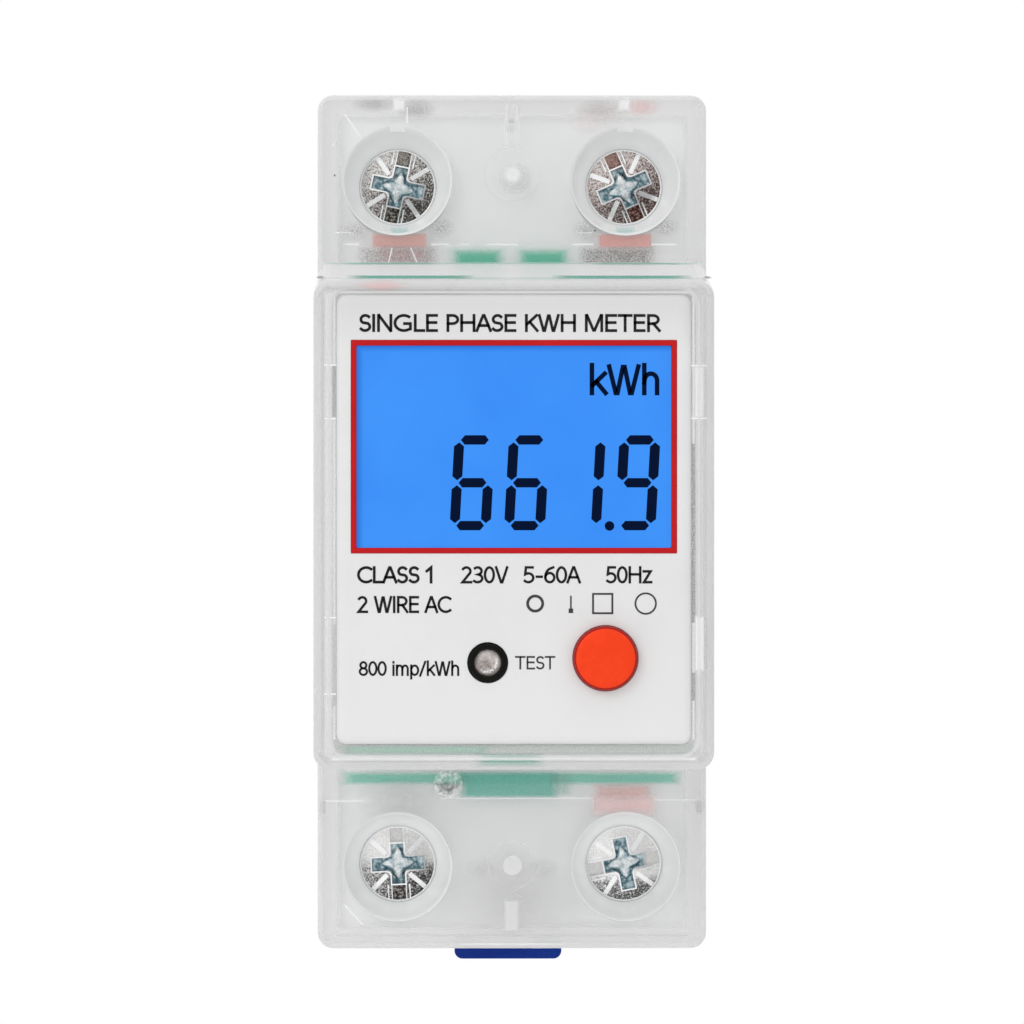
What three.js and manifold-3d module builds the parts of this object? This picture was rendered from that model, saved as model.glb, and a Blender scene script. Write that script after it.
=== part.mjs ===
// A two-module single-phase energy meter for a 35 mm top-hat rail.
// Millimetres. +X is to the right, +Y points back to the rail, +Z is up.
// The origin is the centre of the face that rests on the rail.
import * as THREE from "three";
import { mergeVertices } from "three/addons/utils/BufferGeometryUtils.js";
import Module from "manifold-3d";

// ---------------------------------------------------------------- driving dimensions
const GAP = 0.3; // clearance between neighbouring pieces
const WALL = 1.6; // moulded wall thickness
const PAST = 1; // how far a cutting tool runs past the face it opens
const BITE = 0.1; // how far a rib sinks into the wall it grows from

// Case
const HALF_WIDTH = 18;
const BODY_TOP = 39.5;
const BODY_BOTTOM = -39.5;
const SHOULDER_Y = -40;
const NOSE_Y = -58.5;
const PARTING_Y = -23;
const BACK_Y = 6.5;
const CASE_CORNER = 1.3;
const INNER_HALF = HALF_WIDTH - WALL;
const INNER_TOP = BODY_TOP - WALL;
const INNER_BOTTOM = BODY_BOTTOM + WALL;
const SHOULDER_INNER_Y = SHOULDER_Y + WALL;
const FLOOR_Y = -1.8;

// Nose of the front cover: its top wall slopes, its bottom wall is nearly square
const NOSE_TOP_BASE = 24.1;
const NOSE_TOP_FRONT = 21.7;
const NOSE_BOTTOM_BASE = -22.6;
const NOSE_BOTTOM_FRONT = -22.2;
const NOSE_CORNER = 2;

// Tray in the nose, and the label plate that snaps into it
const TRAY = { half: 16.3, top: 20.8, bottom: -20.85, floorY: -57.1, corner: 1.5 };
const TRAY_INNER_Y = TRAY.floorY + WALL;
const LABEL = { half: 15.9, top: 20.4, bottom: -19.9, frontY: -58.2, backY: -57.4, corner: 1.3 };
const HOOKS = [
  { z0: 9.8, z1: 14.1 },
  { z0: -14.1, z1: -8.6 },
];
const HOOK_THICK = 0.7;

// Display
const LCD_Z = 6.75;
const LCD = { halfX: 14.1, halfZ: 9.05, frontY: -57.75, backY: -55.9 };
const BEZEL = { halfX: 14.6, halfZ: 9.55, frontY: -58.25, backY: -55.6 };
const FIT = 0.1; // clearance of the display frame in its window
const BACKLIGHT = { halfX: 14, z0: -0.4, z1: 15.6, frontY: -55.6, backY: -53.2 };
const HOLDER = { halfX: 14.9, z0: -3.9, z1: 17.4, frontY: -55.2, backY: -51.5, floor: 1.4 };
const ZEBRA = { halfX: 13, z0: -2.1, z1: -0.9 };

// Push button and its switch
const BUTTON = { x: 8.2, z: -12.2, r: 2.9, frontY: -59.4, flangeR: 3.7 };
const BUTTON_HOLE_R = 3.1;
const SWITCH = { half: 3, frontY: -53.4, backY: -51.5, pocketR: 2.1, floor: 0.4 };
const PLUNGER = { r: 1.7, frontY: -54.3, backY: -52.7 };

// Pulse lamp and its ring
const LAMP = { x: -2.35, z: -12.6, ringR: 1.8, boreR: 1.3, r: 1.15 };

// Boards
const DISPLAY_BOARD = { half: 15.4, top: 20.1, bottom: -20.2, frontY: -51.2, backY: -50 };
const MAIN_BOARD = { left: -15.7, right: 15.6, top: 23.9, bottom: -24, frontY: -37.8, backY: -36.2 };

// Terminals: where each screw stands, and how far its slot is turned clockwise from upright
const TERMINALS = [
  { name: "upper_left", x: -10.6, z: 31.2, side: 1, turn: 12 },
  { name: "upper_right", x: 10.5, z: 31.2, side: 1, turn: -23 },
  { name: "lower_left", x: -10.6, z: -31.9, side: -1, turn: -3 },
  { name: "lower_right", x: 10.5, z: -31.9, side: -1, turn: 79 },
];
const [upperLeft, upperRight, lowerLeft, lowerRight] = TERMINALS;
const WELL = { mouthR: 4.8, boreR: 3.95, throatY: -37.4, endY: -32.8, outerR: 4.95 };
const SCREW = { headR: 3.6, headFrontY: -35.2, headBackY: -32.4, shankR: 2.5, tipY: -22 };
const CAGE = { halfX: 4.5, halfZ: 3.2, frontY: -26.4, backY: -11, side: 1.2, frontWall: 2.2, backWall: 1.6 };
const ROOM = { halfX: 4.8, halfZ: 3.5, floorY: -10.4, partition: 0.8 };
const WIRE = { halfX: 3.3, y0: -20.4, y1: -12.4, flare: 0.9, flareDepth: 1.5 };

// Current path
const BAR = { half: 2.45, frontY: -21.7, backY: -20.2 };
const RISER = { thick: 1.3, frontY: -32.4 };
const SHUNT_HALF = 8.9;

// Rail seat, fixed hook and sliding clip
const RAIL_SLOT_HALF = 17.8;
const SEAT_HALF = 15.5;
const SEAT_STEP = 0.2;
const HOOK_TIP_Z = 16;
const HOOK_Y = [1.4, 3.4];
const CLIP = { half: 5.3, tipZ: -16, tabZ: -43.4, y0: 1.4, y1: 3.4 };

// Sealing screw under the nose
const SEAL = { x: -5.9, z: -24.2, headR: 1.4, shankR: 0.8, frontY: -40.9, shoulderY: -39, tipY: -14 };

// ---------------------------------------------------------------- solids
const wasm = await Module();
wasm.setup();

// A closed three.js geometry as a solid, with its faces turned outwards.
function solid(geometry) {
  const bare = geometry.clone();
  bare.deleteAttribute("normal");
  bare.deleteAttribute("uv");
  const merged = mergeVertices(bare, 1e-4);
  const corners = merged.index.array;
  const kept = [];
  for (let i = 0; i < corners.length; i += 3) {
    const [a, b, c] = [corners[i], corners[i + 1], corners[i + 2]];
    if (a !== b && b !== c && c !== a) {
      kept.push(a, b, c);
    }
  }
  const build = (triVerts) =>
    new wasm.Manifold(
      new wasm.Mesh({ numProp: 3, vertProperties: merged.attributes.position.array, triVerts }),
    );
  const made = build(new Uint32Array(kept));
  return made.volume() > 0 ? made : build(new Uint32Array(kept).reverse());
}

// The solid's surface as a geometry for a mesh.
function surface(body) {
  const mesh = body.getMesh();
  const geometry = new THREE.BufferGeometry();
  geometry.setAttribute("position", new THREE.BufferAttribute(mesh.vertProperties, 3));
  geometry.setIndex(new THREE.BufferAttribute(mesh.triVerts, 1));
  geometry.computeVertexNormals();
  return geometry;
}

const join = (...bodies) => bodies.reduce((whole, body) => whole.add(body));
const cut = (body, ...tools) => tools.reduce((rest, tool) => rest.subtract(tool), body);

// A box between two limits on each axis, given in either order.
function box(x0, x1, y0, y1, z0, z1) {
  const size = [x1 - x0, y1 - y0, z1 - z0].map(Math.abs);
  const geometry = new THREE.BoxGeometry(...size);
  geometry.translate((x0 + x1) / 2, (y0 + y1) / 2, (z0 + z1) / 2);
  return solid(geometry);
}

// A rectangle with round corners, drawn in X and Z.
function roundedRectangle(x0, x1, z0, z1, radius) {
  const shape = new THREE.Shape();
  shape.moveTo(x0 + radius, z0);
  shape.lineTo(x1 - radius, z0);
  shape.absarc(x1 - radius, z0 + radius, radius, -Math.PI / 2, 0);
  shape.lineTo(x1, z1 - radius);
  shape.absarc(x1 - radius, z1 - radius, radius, 0, Math.PI / 2);
  shape.lineTo(x0 + radius, z1);
  shape.absarc(x0 + radius, z1 - radius, radius, Math.PI / 2, Math.PI);
  shape.lineTo(x0, z0 + radius);
  shape.absarc(x0 + radius, z0 + radius, radius, Math.PI, 1.5 * Math.PI);
  return shape;
}

// A shape drawn in X and Z, filled from frontY back to backY.
function slab(shape, frontY, backY) {
  const geometry = new THREE.ExtrudeGeometry(shape, {
    depth: backY - frontY,
    bevelEnabled: false,
    curveSegments: 5,
  });
  geometry.rotateX(Math.PI / 2);
  geometry.translate(0, backY, 0);
  return solid(geometry);
}

// A side outline drawn in Y and Z, filled across X from -halfX to halfX.
function sideProfile(points, halfX) {
  const shape = new THREE.Shape(points.map(([y, z]) => new THREE.Vector2(y, z)));
  const geometry = new THREE.ExtrudeGeometry(shape, { depth: 2 * halfX, bevelEnabled: false });
  const yAxis = new THREE.Vector3(0, 1, 0);
  const zAxis = new THREE.Vector3(0, 0, 1);
  const xAxis = new THREE.Vector3(1, 0, 0);
  geometry.applyMatrix4(new THREE.Matrix4().makeBasis(yAxis, zAxis, xAxis));
  geometry.translate(-halfX, 0, 0);
  return solid(geometry);
}

// A turned piece about a line along Y through (x, z); the outline lists [radius, y].
function turned(outline, x = 0, z = 0, segments = 24) {
  const points = outline.map(([r, y]) => new THREE.Vector2(r, y));
  const geometry = new THREE.LatheGeometry(points, segments);
  geometry.translate(x, 0, z);
  return solid(geometry);
}

const disc = (radius, y0, y1, x = 0, z = 0, segments = 24) =>
  turned([[0, y0], [radius, y0], [radius, y1], [0, y1]], x, z, segments);

// A round lead along a smooth curve through the points.
function lead(points, radius) {
  const path = new THREE.CatmullRomCurve3(points.map((p) => new THREE.Vector3(...p)));
  const section = new THREE.Shape();
  section.absarc(0, 0, radius, 0, 2 * Math.PI);
  const geometry = new THREE.ExtrudeGeometry(section, {
    extrudePath: path,
    steps: 16,
    bevelEnabled: false,
    curveSegments: 4,
  });
  return solid(geometry);
}

// ---------------------------------------------------------------- finishes
const finish = (color, roughness, metalness = 0) =>
  new THREE.MeshStandardMaterial({ color, roughness, metalness });
const frostedCase = finish(0xdfe2e2, 0.45);
const labelWhite = finish(0xe8e8e6, 0.5);
const bezelRed = finish(0xc82020, 0.4);
const lcdBlue = finish(0x3d94fa, 0.2);
const diffuserWhite = finish(0xf2f6fa, 0.6);
const holderWhite = finish(0xeeeeea, 0.6);
const boardGreen = finish(0x3fa58a, 0.5);
const chipBlack = finish(0x1c1c1e, 0.55);
const canSilver = finish(0xb9bcc0, 0.3, 1);
const capacitorBlue = finish(0x2b5fa8, 0.5);
const filmYellow = finish(0xd8b23c, 0.5);
const resistorBlue = finish(0x6fa3b8, 0.5);
const copper = finish(0xc4705a, 0.4, 1);
const tinned = finish(0xb0b2b4, 0.4, 1);
const manganin = finish(0x9a8a76, 0.45, 1);
const zinc = finish(0xd2d6d8, 0.28, 1);
const steel = finish(0xa9adb0, 0.4, 1);
const buttonRed = finish(0xff4520, 0.35);
const ringBlack = finish(0x111312, 0.35);
const lampClear = finish(0xc9cbc6, 0.15);
const clipBlue = finish(0x173078, 0.45);
const sealClear = finish(0xe9eded, 0.1);
const leadRed = finish(0xb02a22, 0.5);
const leadBlack = finish(0x202020, 0.5);
const rubberGrey = finish(0x8e6a70, 0.7);

const meter = new THREE.Group();

function part(name, body, material, parent = meter) {
  const mesh = new THREE.Mesh(surface(body), material);
  mesh.name = name;
  parent.add(mesh);
  return mesh;
}

// ---------------------------------------------------------------- rear housing
const UPPER_ROOM_Z = TERMINALS[0].z - ROOM.halfZ - ROOM.partition;
const LOWER_ROOM_Z = TERMINALS[2].z + ROOM.halfZ + ROOM.partition;
const SNAP = { z0: 5.4, z1: 10.6, y0: -20.6, y1: -17.4 };
const POST = { x0: 14.3, x1: 16.1, z0: 19, z1: 21.5, frontY: MAIN_BOARD.backY + GAP };
const BOSS_R = 2;

// Cores in the back of a leg, between ribs; the deep part lies behind the terminals.
function legCores(side, x0, x1) {
  const pocketY = -SEAT_STEP;
  const deepY = ROOM.floorY + WALL;
  const shallow = box(x0, x1, pocketY, BACK_Y + PAST, side * (RAIL_SLOT_HALF + WALL), side * INNER_TOP);
  const deepZ = (side > 0 ? UPPER_ROOM_Z : -LOWER_ROOM_Z) + WALL;
  const deep = box(x0, x1, deepY, BACK_Y + PAST, side * deepZ, side * INNER_TOP);
  return shallow.add(deep);
}

function upperLegCores() {
  const rib = 1.2;
  const count = 4;
  const width = (2 * INNER_HALF - (count - 1) * rib) / count;
  const cores = [];
  for (let i = 0; i < count; i += 1) {
    const x0 = -INNER_HALF + i * (width + rib);
    cores.push(legCores(1, x0, x0 + width));
  }
  return cores;
}

const lowerLegCores = () => [-1, 1].map((hand) => legCores(-1, hand * 7.2, hand * 15));

// The room of one lift cage, the tunnel its wire comes in by and the slot its bar lies in.
function terminalRoom({ x, z, side }) {
  const room = box(x - ROOM.halfX, x + ROOM.halfX, PARTING_Y, ROOM.floorY, z - ROOM.halfZ, z + ROOM.halfZ);
  const bodyEnd = side > 0 ? BODY_TOP : BODY_BOTTOM;
  const tunnel = box(x - WIRE.halfX, x + WIRE.halfX, WIRE.y0, WIRE.y1, z, bodyEnd + side * PAST);
  const middleY = (WIRE.y0 + WIRE.y1) / 2;
  const halfY = (WIRE.y1 - WIRE.y0) / 2;
  const flare = new THREE.CylinderGeometry(
    Math.SQRT2 * (1 + WIRE.flare / WIRE.halfX), Math.SQRT2, WIRE.flareDepth, 4);
  flare.rotateY(Math.PI / 4);
  flare.rotateX(side * Math.PI / 2);
  flare.scale(WIRE.halfX, halfY, 1);
  flare.translate(x, middleY, bodyEnd + side * (0.01 - WIRE.flareDepth / 2));
  const slotZ = z - side * (ROOM.halfZ + ROOM.partition + BITE);
  const reach = BAR.half + GAP;
  const barSlot = box(x - reach, x + reach, PARTING_Y, BAR.backY + GAP, slotZ, z);
  return join(room, tunnel, solid(flare), barSlot);
}

function railSide() {
  const across = HALF_WIDTH + PAST;
  const channel = box(-across, across, 0, BACK_Y + PAST, -RAIL_SLOT_HALF, RAIL_SLOT_HALF);
  const steps = [-1, 1].map((side) =>
    box(-across, across, -SEAT_STEP, PAST, side * SEAT_HALF, side * RAIL_SLOT_HALF));
  const runHalf = CLIP.half + GAP;
  const [runTop, runBottom] = [-RAIL_SLOT_HALF + PAST, BODY_BOTTOM - PAST];
  const clipRun = box(-runHalf, runHalf, CLIP.y0 - GAP, CLIP.y1 + GAP, runTop, runBottom);
  const backSlot = box(-4.2, 4.2, CLIP.y1, BACK_Y + PAST, runTop, runBottom);
  return join(channel, ...steps, clipRun, backSlot);
}

function rearHousing() {
  const frontY = PARTING_Y + GAP / 2;
  const outline = roundedRectangle(-HALF_WIDTH, HALF_WIDTH, BODY_BOTTOM, BODY_TOP, CASE_CORNER);
  const block = slab(outline, frontY, BACK_Y);
  const electronics = box(-INNER_HALF, INNER_HALF, PARTING_Y, FLOOR_Y, LOWER_ROOM_Z, UPPER_ROOM_Z);
  const middleRooms = [1, -1].map((side) => {
    const start = side > 0 ? UPPER_ROOM_Z + ROOM.partition : LOWER_ROOM_Z - ROOM.partition;
    return box(-4.6, 4.6, PARTING_Y, ROOM.floorY, start, side * INNER_TOP);
  });
  const rooms = TERMINALS.map(terminalRoom);
  const windows = [-1, 1].flatMap((hand) =>
    [-1, 1].map((side) =>
      box(
        hand * (INNER_HALF - BITE), hand * (HALF_WIDTH + PAST), SNAP.y0, SNAP.y1,
        side * SNAP.z0, side * SNAP.z1)));
  const shell = cut(
    block, railSide(), electronics, ...middleRooms, ...rooms, ...windows,
    ...upperLegCores(), ...lowerLegCores());
  const hook = box(-14, 14, HOOK_Y[0], HOOK_Y[1], HOOK_TIP_Z, RAIL_SLOT_HALF + BITE);
  const posts = [-1, 1].flatMap((hand) =>
    [-1, 1].flatMap((side) => [
      box(hand * POST.x0, hand * POST.x1, POST.frontY, FLOOR_Y + BITE, side * POST.z0, side * POST.z1),
      box(
        hand * POST.x0, hand * (INNER_HALF + BITE), frontY + GAP, FLOOR_Y + BITE,
        side * POST.z0, side * POST.z1),
    ]));
  const boss = cut(
    disc(BOSS_R, frontY + 1.3, FLOOR_Y + BITE, SEAL.x, SEAL.z, 16),
    disc(SEAL.shankR + GAP, frontY, SEAL.tipY + 2, SEAL.x, SEAL.z, 16));
  return join(shell, hook, ...posts, boss);
}

part("rear_housing", rearHousing(), frostedCase);

// ---------------------------------------------------------------- front cover
const noseTopAt = (y) =>
  NOSE_TOP_BASE + ((NOSE_TOP_FRONT - NOSE_TOP_BASE) * (SHOULDER_Y - y)) / (SHOULDER_Y - NOSE_Y);
const noseBottomAt = (y) =>
  NOSE_BOTTOM_BASE + ((NOSE_BOTTOM_FRONT - NOSE_BOTTOM_BASE) * (SHOULDER_Y - y)) / (SHOULDER_Y - NOSE_Y);

function noseProfile(frontY, backY, wall, halfX) {
  return sideProfile(
    [
      [backY, noseBottomAt(backY) + wall],
      [backY, noseTopAt(backY) - wall],
      [frontY, noseTopAt(frontY) - wall],
      [frontY, noseBottomAt(frontY) + wall],
    ],
    halfX,
  );
}

// The well that leads a screwdriver to a terminal screw.
function wellTube({ x, z }) {
  return disc(WELL.outerR, SHOULDER_INNER_Y - BITE, WELL.endY, x, z);
}

function wellBore({ x, z }) {
  return turned(
    [[0, SHOULDER_Y - BITE], [WELL.mouthR, SHOULDER_Y - BITE], [WELL.boreR, WELL.throatY],
     [WELL.boreR, WELL.endY + PAST], [0, WELL.endY + PAST]],
    x, z);
}

// Shallow relief over the wire entry, on the end wall of the cover.
function entryRelief({ x, side }) {
  const end = side > 0 ? BODY_TOP : BODY_BOTTOM;
  return box(x - 2.95, x + 2.95, -37, PARTING_Y, end - side, end + side * PAST);
}

// A groove that runs from an upper well out through the end wall.
function keyGroove({ x, z }) {
  return box(x - 0.75, x + 0.75, SHOULDER_Y - PAST, SHOULDER_Y + 0.9, z, BODY_TOP + PAST);
}

// A ring-shaped dimple with a pip left standing in its middle.
function dimple(z) {
  const depth = 0.5;
  const [pipR, ringR] = [1, 2.3];
  return turned(
    [[pipR, SHOULDER_Y - BITE], [ringR, SHOULDER_Y - BITE], [ringR, SHOULDER_Y + depth],
     [pipR, SHOULDER_Y + depth], [pipR, SHOULDER_Y - BITE]],
    0, z, 20);
}

// A tongue with a barb that catches in a side window of the rear housing.
function snapTongue(hand, side) {
  const [z0, z1] = [side * (SNAP.z0 + GAP), side * (SNAP.z1 - GAP)];
  const [x0, x1] = [hand * 15.3, hand * 16.1];
  const root = box(x0, hand * (INNER_HALF + BITE), -30, PARTING_Y - GAP / 2, z0, z1);
  const blade = box(x0, x1, -30, SNAP.y1 + GAP, z0, z1);
  const barb = box(x0, hand * 17.3, SNAP.y0 + GAP, SNAP.y1 - GAP, z0, z1);
  return join(root, blade, barb);
}

function frontCover() {
  const backY = PARTING_Y - GAP / 2;
  const outline = roundedRectangle(-HALF_WIDTH, HALF_WIDTH, BODY_BOTTOM, BODY_TOP, CASE_CORNER);
  const shoulders = slab(outline, SHOULDER_Y, backY);
  const noseOutline = roundedRectangle(-HALF_WIDTH, HALF_WIDTH, NOSE_BOTTOM_BASE, NOSE_TOP_BASE, NOSE_CORNER);
  const noseBody = slab(noseOutline, NOSE_Y, SHOULDER_Y + BITE);
  const nose = noseBody.intersect(noseProfile(NOSE_Y, SHOULDER_Y + BITE, 0, HALF_WIDTH + PAST));
  const hollow = box(-INNER_HALF, INNER_HALF, SHOULDER_INNER_Y, PARTING_Y + PAST, INNER_BOTTOM, INNER_TOP);
  const noseHollow = noseProfile(TRAY_INNER_Y, SHOULDER_INNER_Y + BITE, WALL, INNER_HALF);
  const shell = cut(join(shoulders, nose), hollow, noseHollow);

  const trayOutline = roundedRectangle(-TRAY.half, TRAY.half, TRAY.bottom, TRAY.top, TRAY.corner);
  const tray = slab(trayOutline, NOSE_Y - PAST, TRAY.floorY);
  const reach = [BEZEL.halfX + FIT, BEZEL.halfZ + FIT];
  const window = box(-reach[0], reach[0], NOSE_Y, TRAY_INNER_Y + BITE, LCD_Z - reach[1], LCD_Z + reach[1]);
  const buttonHole = disc(BUTTON_HOLE_R, NOSE_Y, TRAY_INNER_Y + BITE, BUTTON.x, BUTTON.z);
  const lampHole = disc(LAMP.ringR + FIT, NOSE_Y, TRAY_INNER_Y + BITE, LAMP.x, LAMP.z, 20);
  const hookSlots = HOOKS.flatMap(({ z0, z1 }) =>
    [-1, 1].map((hand) =>
      box(
        hand * (LABEL.half - HOOK_THICK - GAP), hand * TRAY.half, NOSE_Y, TRAY_INNER_Y + BITE,
        z0 - GAP, z1 + GAP)));

  const wells = TERMINALS.map(wellTube);
  const bores = TERMINALS.map(wellBore);
  const sealHole = join(
    disc(SEAL.headR + GAP, SHOULDER_Y - BITE, SEAL.shoulderY + FIT, SEAL.x, SEAL.z, 16),
    disc(SEAL.shankR + GAP, SHOULDER_Y, SHOULDER_INNER_Y + PAST, SEAL.x, SEAL.z, 16));
  const ribs = [1, -1].map((side) =>
    box(-0.6, 0.6, SHOULDER_INNER_Y - BITE, -24, side * 36.2, side * (INNER_TOP + BITE)));
  const tongues = [-1, 1].flatMap((hand) => [-1, 1].map((side) => snapTongue(hand, side)));
  return cut(
    join(shell, ...wells, ...ribs, ...tongues),
    tray, window, buttonHole, lampHole, ...hookSlots, ...bores, sealHole,
    ...TERMINALS.map(entryRelief), ...[upperLeft, upperRight].map(keyGroove), dimple(32.3), dimple(-31.8));
}

part("front_cover", frontCover(), frostedCase);

// ---------------------------------------------------------------- label plate and display
function labelPlate() {
  const outline = roundedRectangle(-LABEL.half, LABEL.half, LABEL.bottom, LABEL.top, LABEL.corner);
  const plate = slab(outline, LABEL.frontY, LABEL.backY);
  const reach = [BEZEL.halfX + FIT, BEZEL.halfZ + FIT];
  const opened = cut(
    plate,
    box(-reach[0], reach[0], NOSE_Y, TRAY.floorY, LCD_Z - reach[1], LCD_Z + reach[1]),
    disc(BUTTON_HOLE_R, NOSE_Y, TRAY.floorY, BUTTON.x, BUTTON.z),
    disc(LAMP.ringR + FIT, NOSE_Y, TRAY.floorY, LAMP.x, LAMP.z, 20));
  const barbY = TRAY_INNER_Y + GAP;
  const hooks = HOOKS.flatMap(({ z0, z1 }) =>
    [-1, 1].flatMap((hand) => [
      box(hand * (LABEL.half - HOOK_THICK), hand * LABEL.half, LABEL.backY - BITE, barbY + 0.6, z0, z1),
      box(hand * (LABEL.half - HOOK_THICK), hand * 16.2, barbY, barbY + 0.6, z0, z1),
    ]));
  return join(opened, ...hooks);
}

function displayBezel() {
  const { halfX, halfZ, frontY, backY } = BEZEL;
  const outer = box(-halfX, halfX, frontY, backY, LCD_Z - halfZ, LCD_Z + halfZ);
  const reach = [LCD.halfX + FIT, LCD.halfZ + FIT];
  return cut(outer, box(-reach[0], reach[0], NOSE_Y, TRAY_INNER_Y, LCD_Z - reach[1], LCD_Z + reach[1]));
}

function displayHolder() {
  const frame = box(-HOLDER.halfX, HOLDER.halfX, HOLDER.frontY, HOLDER.backY, HOLDER.z0, HOLDER.z1);
  const pocket = box(
    -BACKLIGHT.halfX - GAP, BACKLIGHT.halfX + GAP, NOSE_Y, HOLDER.backY - HOLDER.floor,
    BACKLIGHT.z0 - GAP / 2, BACKLIGHT.z1 + GAP);
  const zebraSlot = box(
    -ZEBRA.halfX - GAP, ZEBRA.halfX + GAP, NOSE_Y, HOLDER.backY + PAST,
    ZEBRA.z0 - GAP / 2, ZEBRA.z1 + GAP / 2);
  return cut(frame, pocket, zebraSlot);
}

part("label_plate", labelPlate(), labelWhite);
part("lcd_bezel", displayBezel(), bezelRed);
part(
  "lcd_glass",
  box(-LCD.halfX, LCD.halfX, LCD.frontY, LCD.backY, LCD_Z - LCD.halfZ, LCD_Z + LCD.halfZ),
  lcdBlue);
part(
  "lcd_backlight",
  box(-BACKLIGHT.halfX, BACKLIGHT.halfX, BACKLIGHT.frontY, BACKLIGHT.backY, BACKLIGHT.z0, BACKLIGHT.z1),
  diffuserWhite);
part("lcd_holder", displayHolder(), holderWhite);
part(
  "lcd_zebra_strip",
  box(-ZEBRA.halfX, ZEBRA.halfX, LCD.backY + GAP, HOLDER.backY, ZEBRA.z0, ZEBRA.z1),
  rubberGrey);

// ---------------------------------------------------------------- button, switch and pulse lamp
function buttonCap() {
  const { r, frontY, flangeR } = BUTTON;
  const flangeY = TRAY_INNER_Y + GAP;
  const flangeBackY = PLUNGER.frontY - GAP;
  return turned(
    [[0, frontY], [r - 1, frontY + 0.08], [r - 0.3, frontY + 0.25], [r, frontY + 0.6], [r, flangeY],
     [flangeR, flangeY], [flangeR, flangeBackY], [0, flangeBackY]]);
}

function switchBody() {
  const { half, frontY, backY, pocketR, floor } = SWITCH;
  return cut(
    box(-half, half, frontY, backY, -half, half),
    disc(pocketR, frontY - PAST, backY - floor, 0, 0, 16));
}

const buttonGroup = new THREE.Group();
buttonGroup.position.set(BUTTON.x, 0, BUTTON.z);
meter.add(buttonGroup);
part("button_cap", buttonCap(), buttonRed, buttonGroup);
part("tact_switch_body", switchBody(), chipBlack, buttonGroup);
part("tact_switch_plunger", disc(PLUNGER.r, PLUNGER.frontY, PLUNGER.backY, 0, 0, 16), steel, buttonGroup);

const lampGroup = new THREE.Group();
lampGroup.position.set(LAMP.x, 0, LAMP.z);
meter.add(lampGroup);
part(
  "pulse_led_ring",
  turned(
    [[LAMP.boreR, -58.4], [LAMP.ringR, -58.4], [LAMP.ringR, BEZEL.backY],
     [LAMP.boreR, BEZEL.backY], [LAMP.boreR, -58.4]],
    0, 0, 20),
  ringBlack, lampGroup);
part(
  "pulse_led",
  turned(
    [[0, -58.1], [0.6, -57.95], [1, -57.5], [LAMP.r, -57], [LAMP.r, -52.6], [1.5, -52.6],
     [1.5, HOLDER.backY], [0, HOLDER.backY]],
    0, 0, 16),
  lampClear, lampGroup);

// ---------------------------------------------------------------- boards and what stands on them
function mainBoard() {
  const { left, right, top, bottom, frontY, backY } = MAIN_BOARD;
  const board = box(left, right, frontY, backY, bottom, top);
  const tabs = [
    box(-5.3, -1.1, frontY, backY, top - BITE, 25.2),
    box(0.7, 4.9, frontY, backY, top - BITE, 25.2),
    box(-5.3, 4.9, frontY, backY, bottom + BITE, -25.6),
  ];
  const sealNotch = disc(SEAL.shankR + 0.7, frontY - PAST, backY + PAST, SEAL.x, SEAL.z, 16);
  return cut(join(board, ...tabs), sealNotch);
}

// A component that stands on the front of the main board, clear of it by the gap.
const onMainBoard = (x0, x1, height, z0, z1) =>
  box(x0, x1, MAIN_BOARD.frontY - GAP - height, MAIN_BOARD.frontY - GAP, z0, z1);

part("main_board", mainBoard(), boardGreen);
part(
  "display_board",
  box(
    -DISPLAY_BOARD.half, DISPLAY_BOARD.half, DISPLAY_BOARD.frontY, DISPLAY_BOARD.backY,
    DISPLAY_BOARD.bottom, DISPLAY_BOARD.top),
  boardGreen);
part("metering_chip", onMainBoard(-5, 5, 1.8, -6, -2), chipBlack);
part(
  "microcontroller",
  box(-3.5, 3.5, DISPLAY_BOARD.backY + GAP, DISPLAY_BOARD.backY + GAP + 1.4, -1, 6),
  chipBlack);
part("crystal", onMainBoard(-13.5, -8.5, 3.5, -16, -12), canSilver);
part("film_capacitor", onMainBoard(-14.5, -1.5, 10.5, 11, 17), filmYellow);
part("bridge_rectifier", onMainBoard(-13.5, -9, 2.4, 0, 6), chipBlack);
part("board_connector", onMainBoard(-6.4, 6.4, 11.4, -19, -16.5), chipBlack);

const roundParts = new THREE.Group();
meter.add(roundParts);
const boardY = MAIN_BOARD.frontY - GAP;
part("electrolytic_capacitor", disc(4, boardY - 10.5, boardY, 8, 14, 20), capacitorBlue, roundParts);

// The disc varistor stands on edge, its flat faces to the left and right.
const varistor = new THREE.CylinderGeometry(4.5, 4.5, 3.2, 20);
varistor.rotateZ(Math.PI / 2);
varistor.translate(11.4, boardY - 4.6, 2);
part("varistor", solid(varistor), resistorBlue, roundParts);

// The fusible resistor lies across the board.
const resistor = new THREE.CylinderGeometry(1.9, 1.9, 10, 16);
resistor.rotateZ(Math.PI / 2);
resistor.translate(-1, boardY - 2.1, 6.5);
part("fusible_resistor", solid(resistor), resistorBlue, roundParts);

// ---------------------------------------------------------------- current path
// A strip of bar between two heights, in the plane of the clamps.
const strip = (x, z0, z1) => box(x - BAR.half, x + BAR.half, BAR.frontY, BAR.backY, z0, z1);

// The end of a bar in its clamp, with the upright that stands beside the partition.
function barEnd({ x, z, side }, innerZ, withRiser = true) {
  const tongue = strip(x, innerZ, z + side * 3);
  const roomZ = side > 0 ? UPPER_ROOM_Z : LOWER_ROOM_Z;
  const outer = roomZ - side * GAP;
  const riser = box(x - BAR.half, x + BAR.half, RISER.frontY, BAR.backY, outer, outer - side * RISER.thick);
  return withRiser ? join(tongue, riser) : tongue;
}

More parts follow.
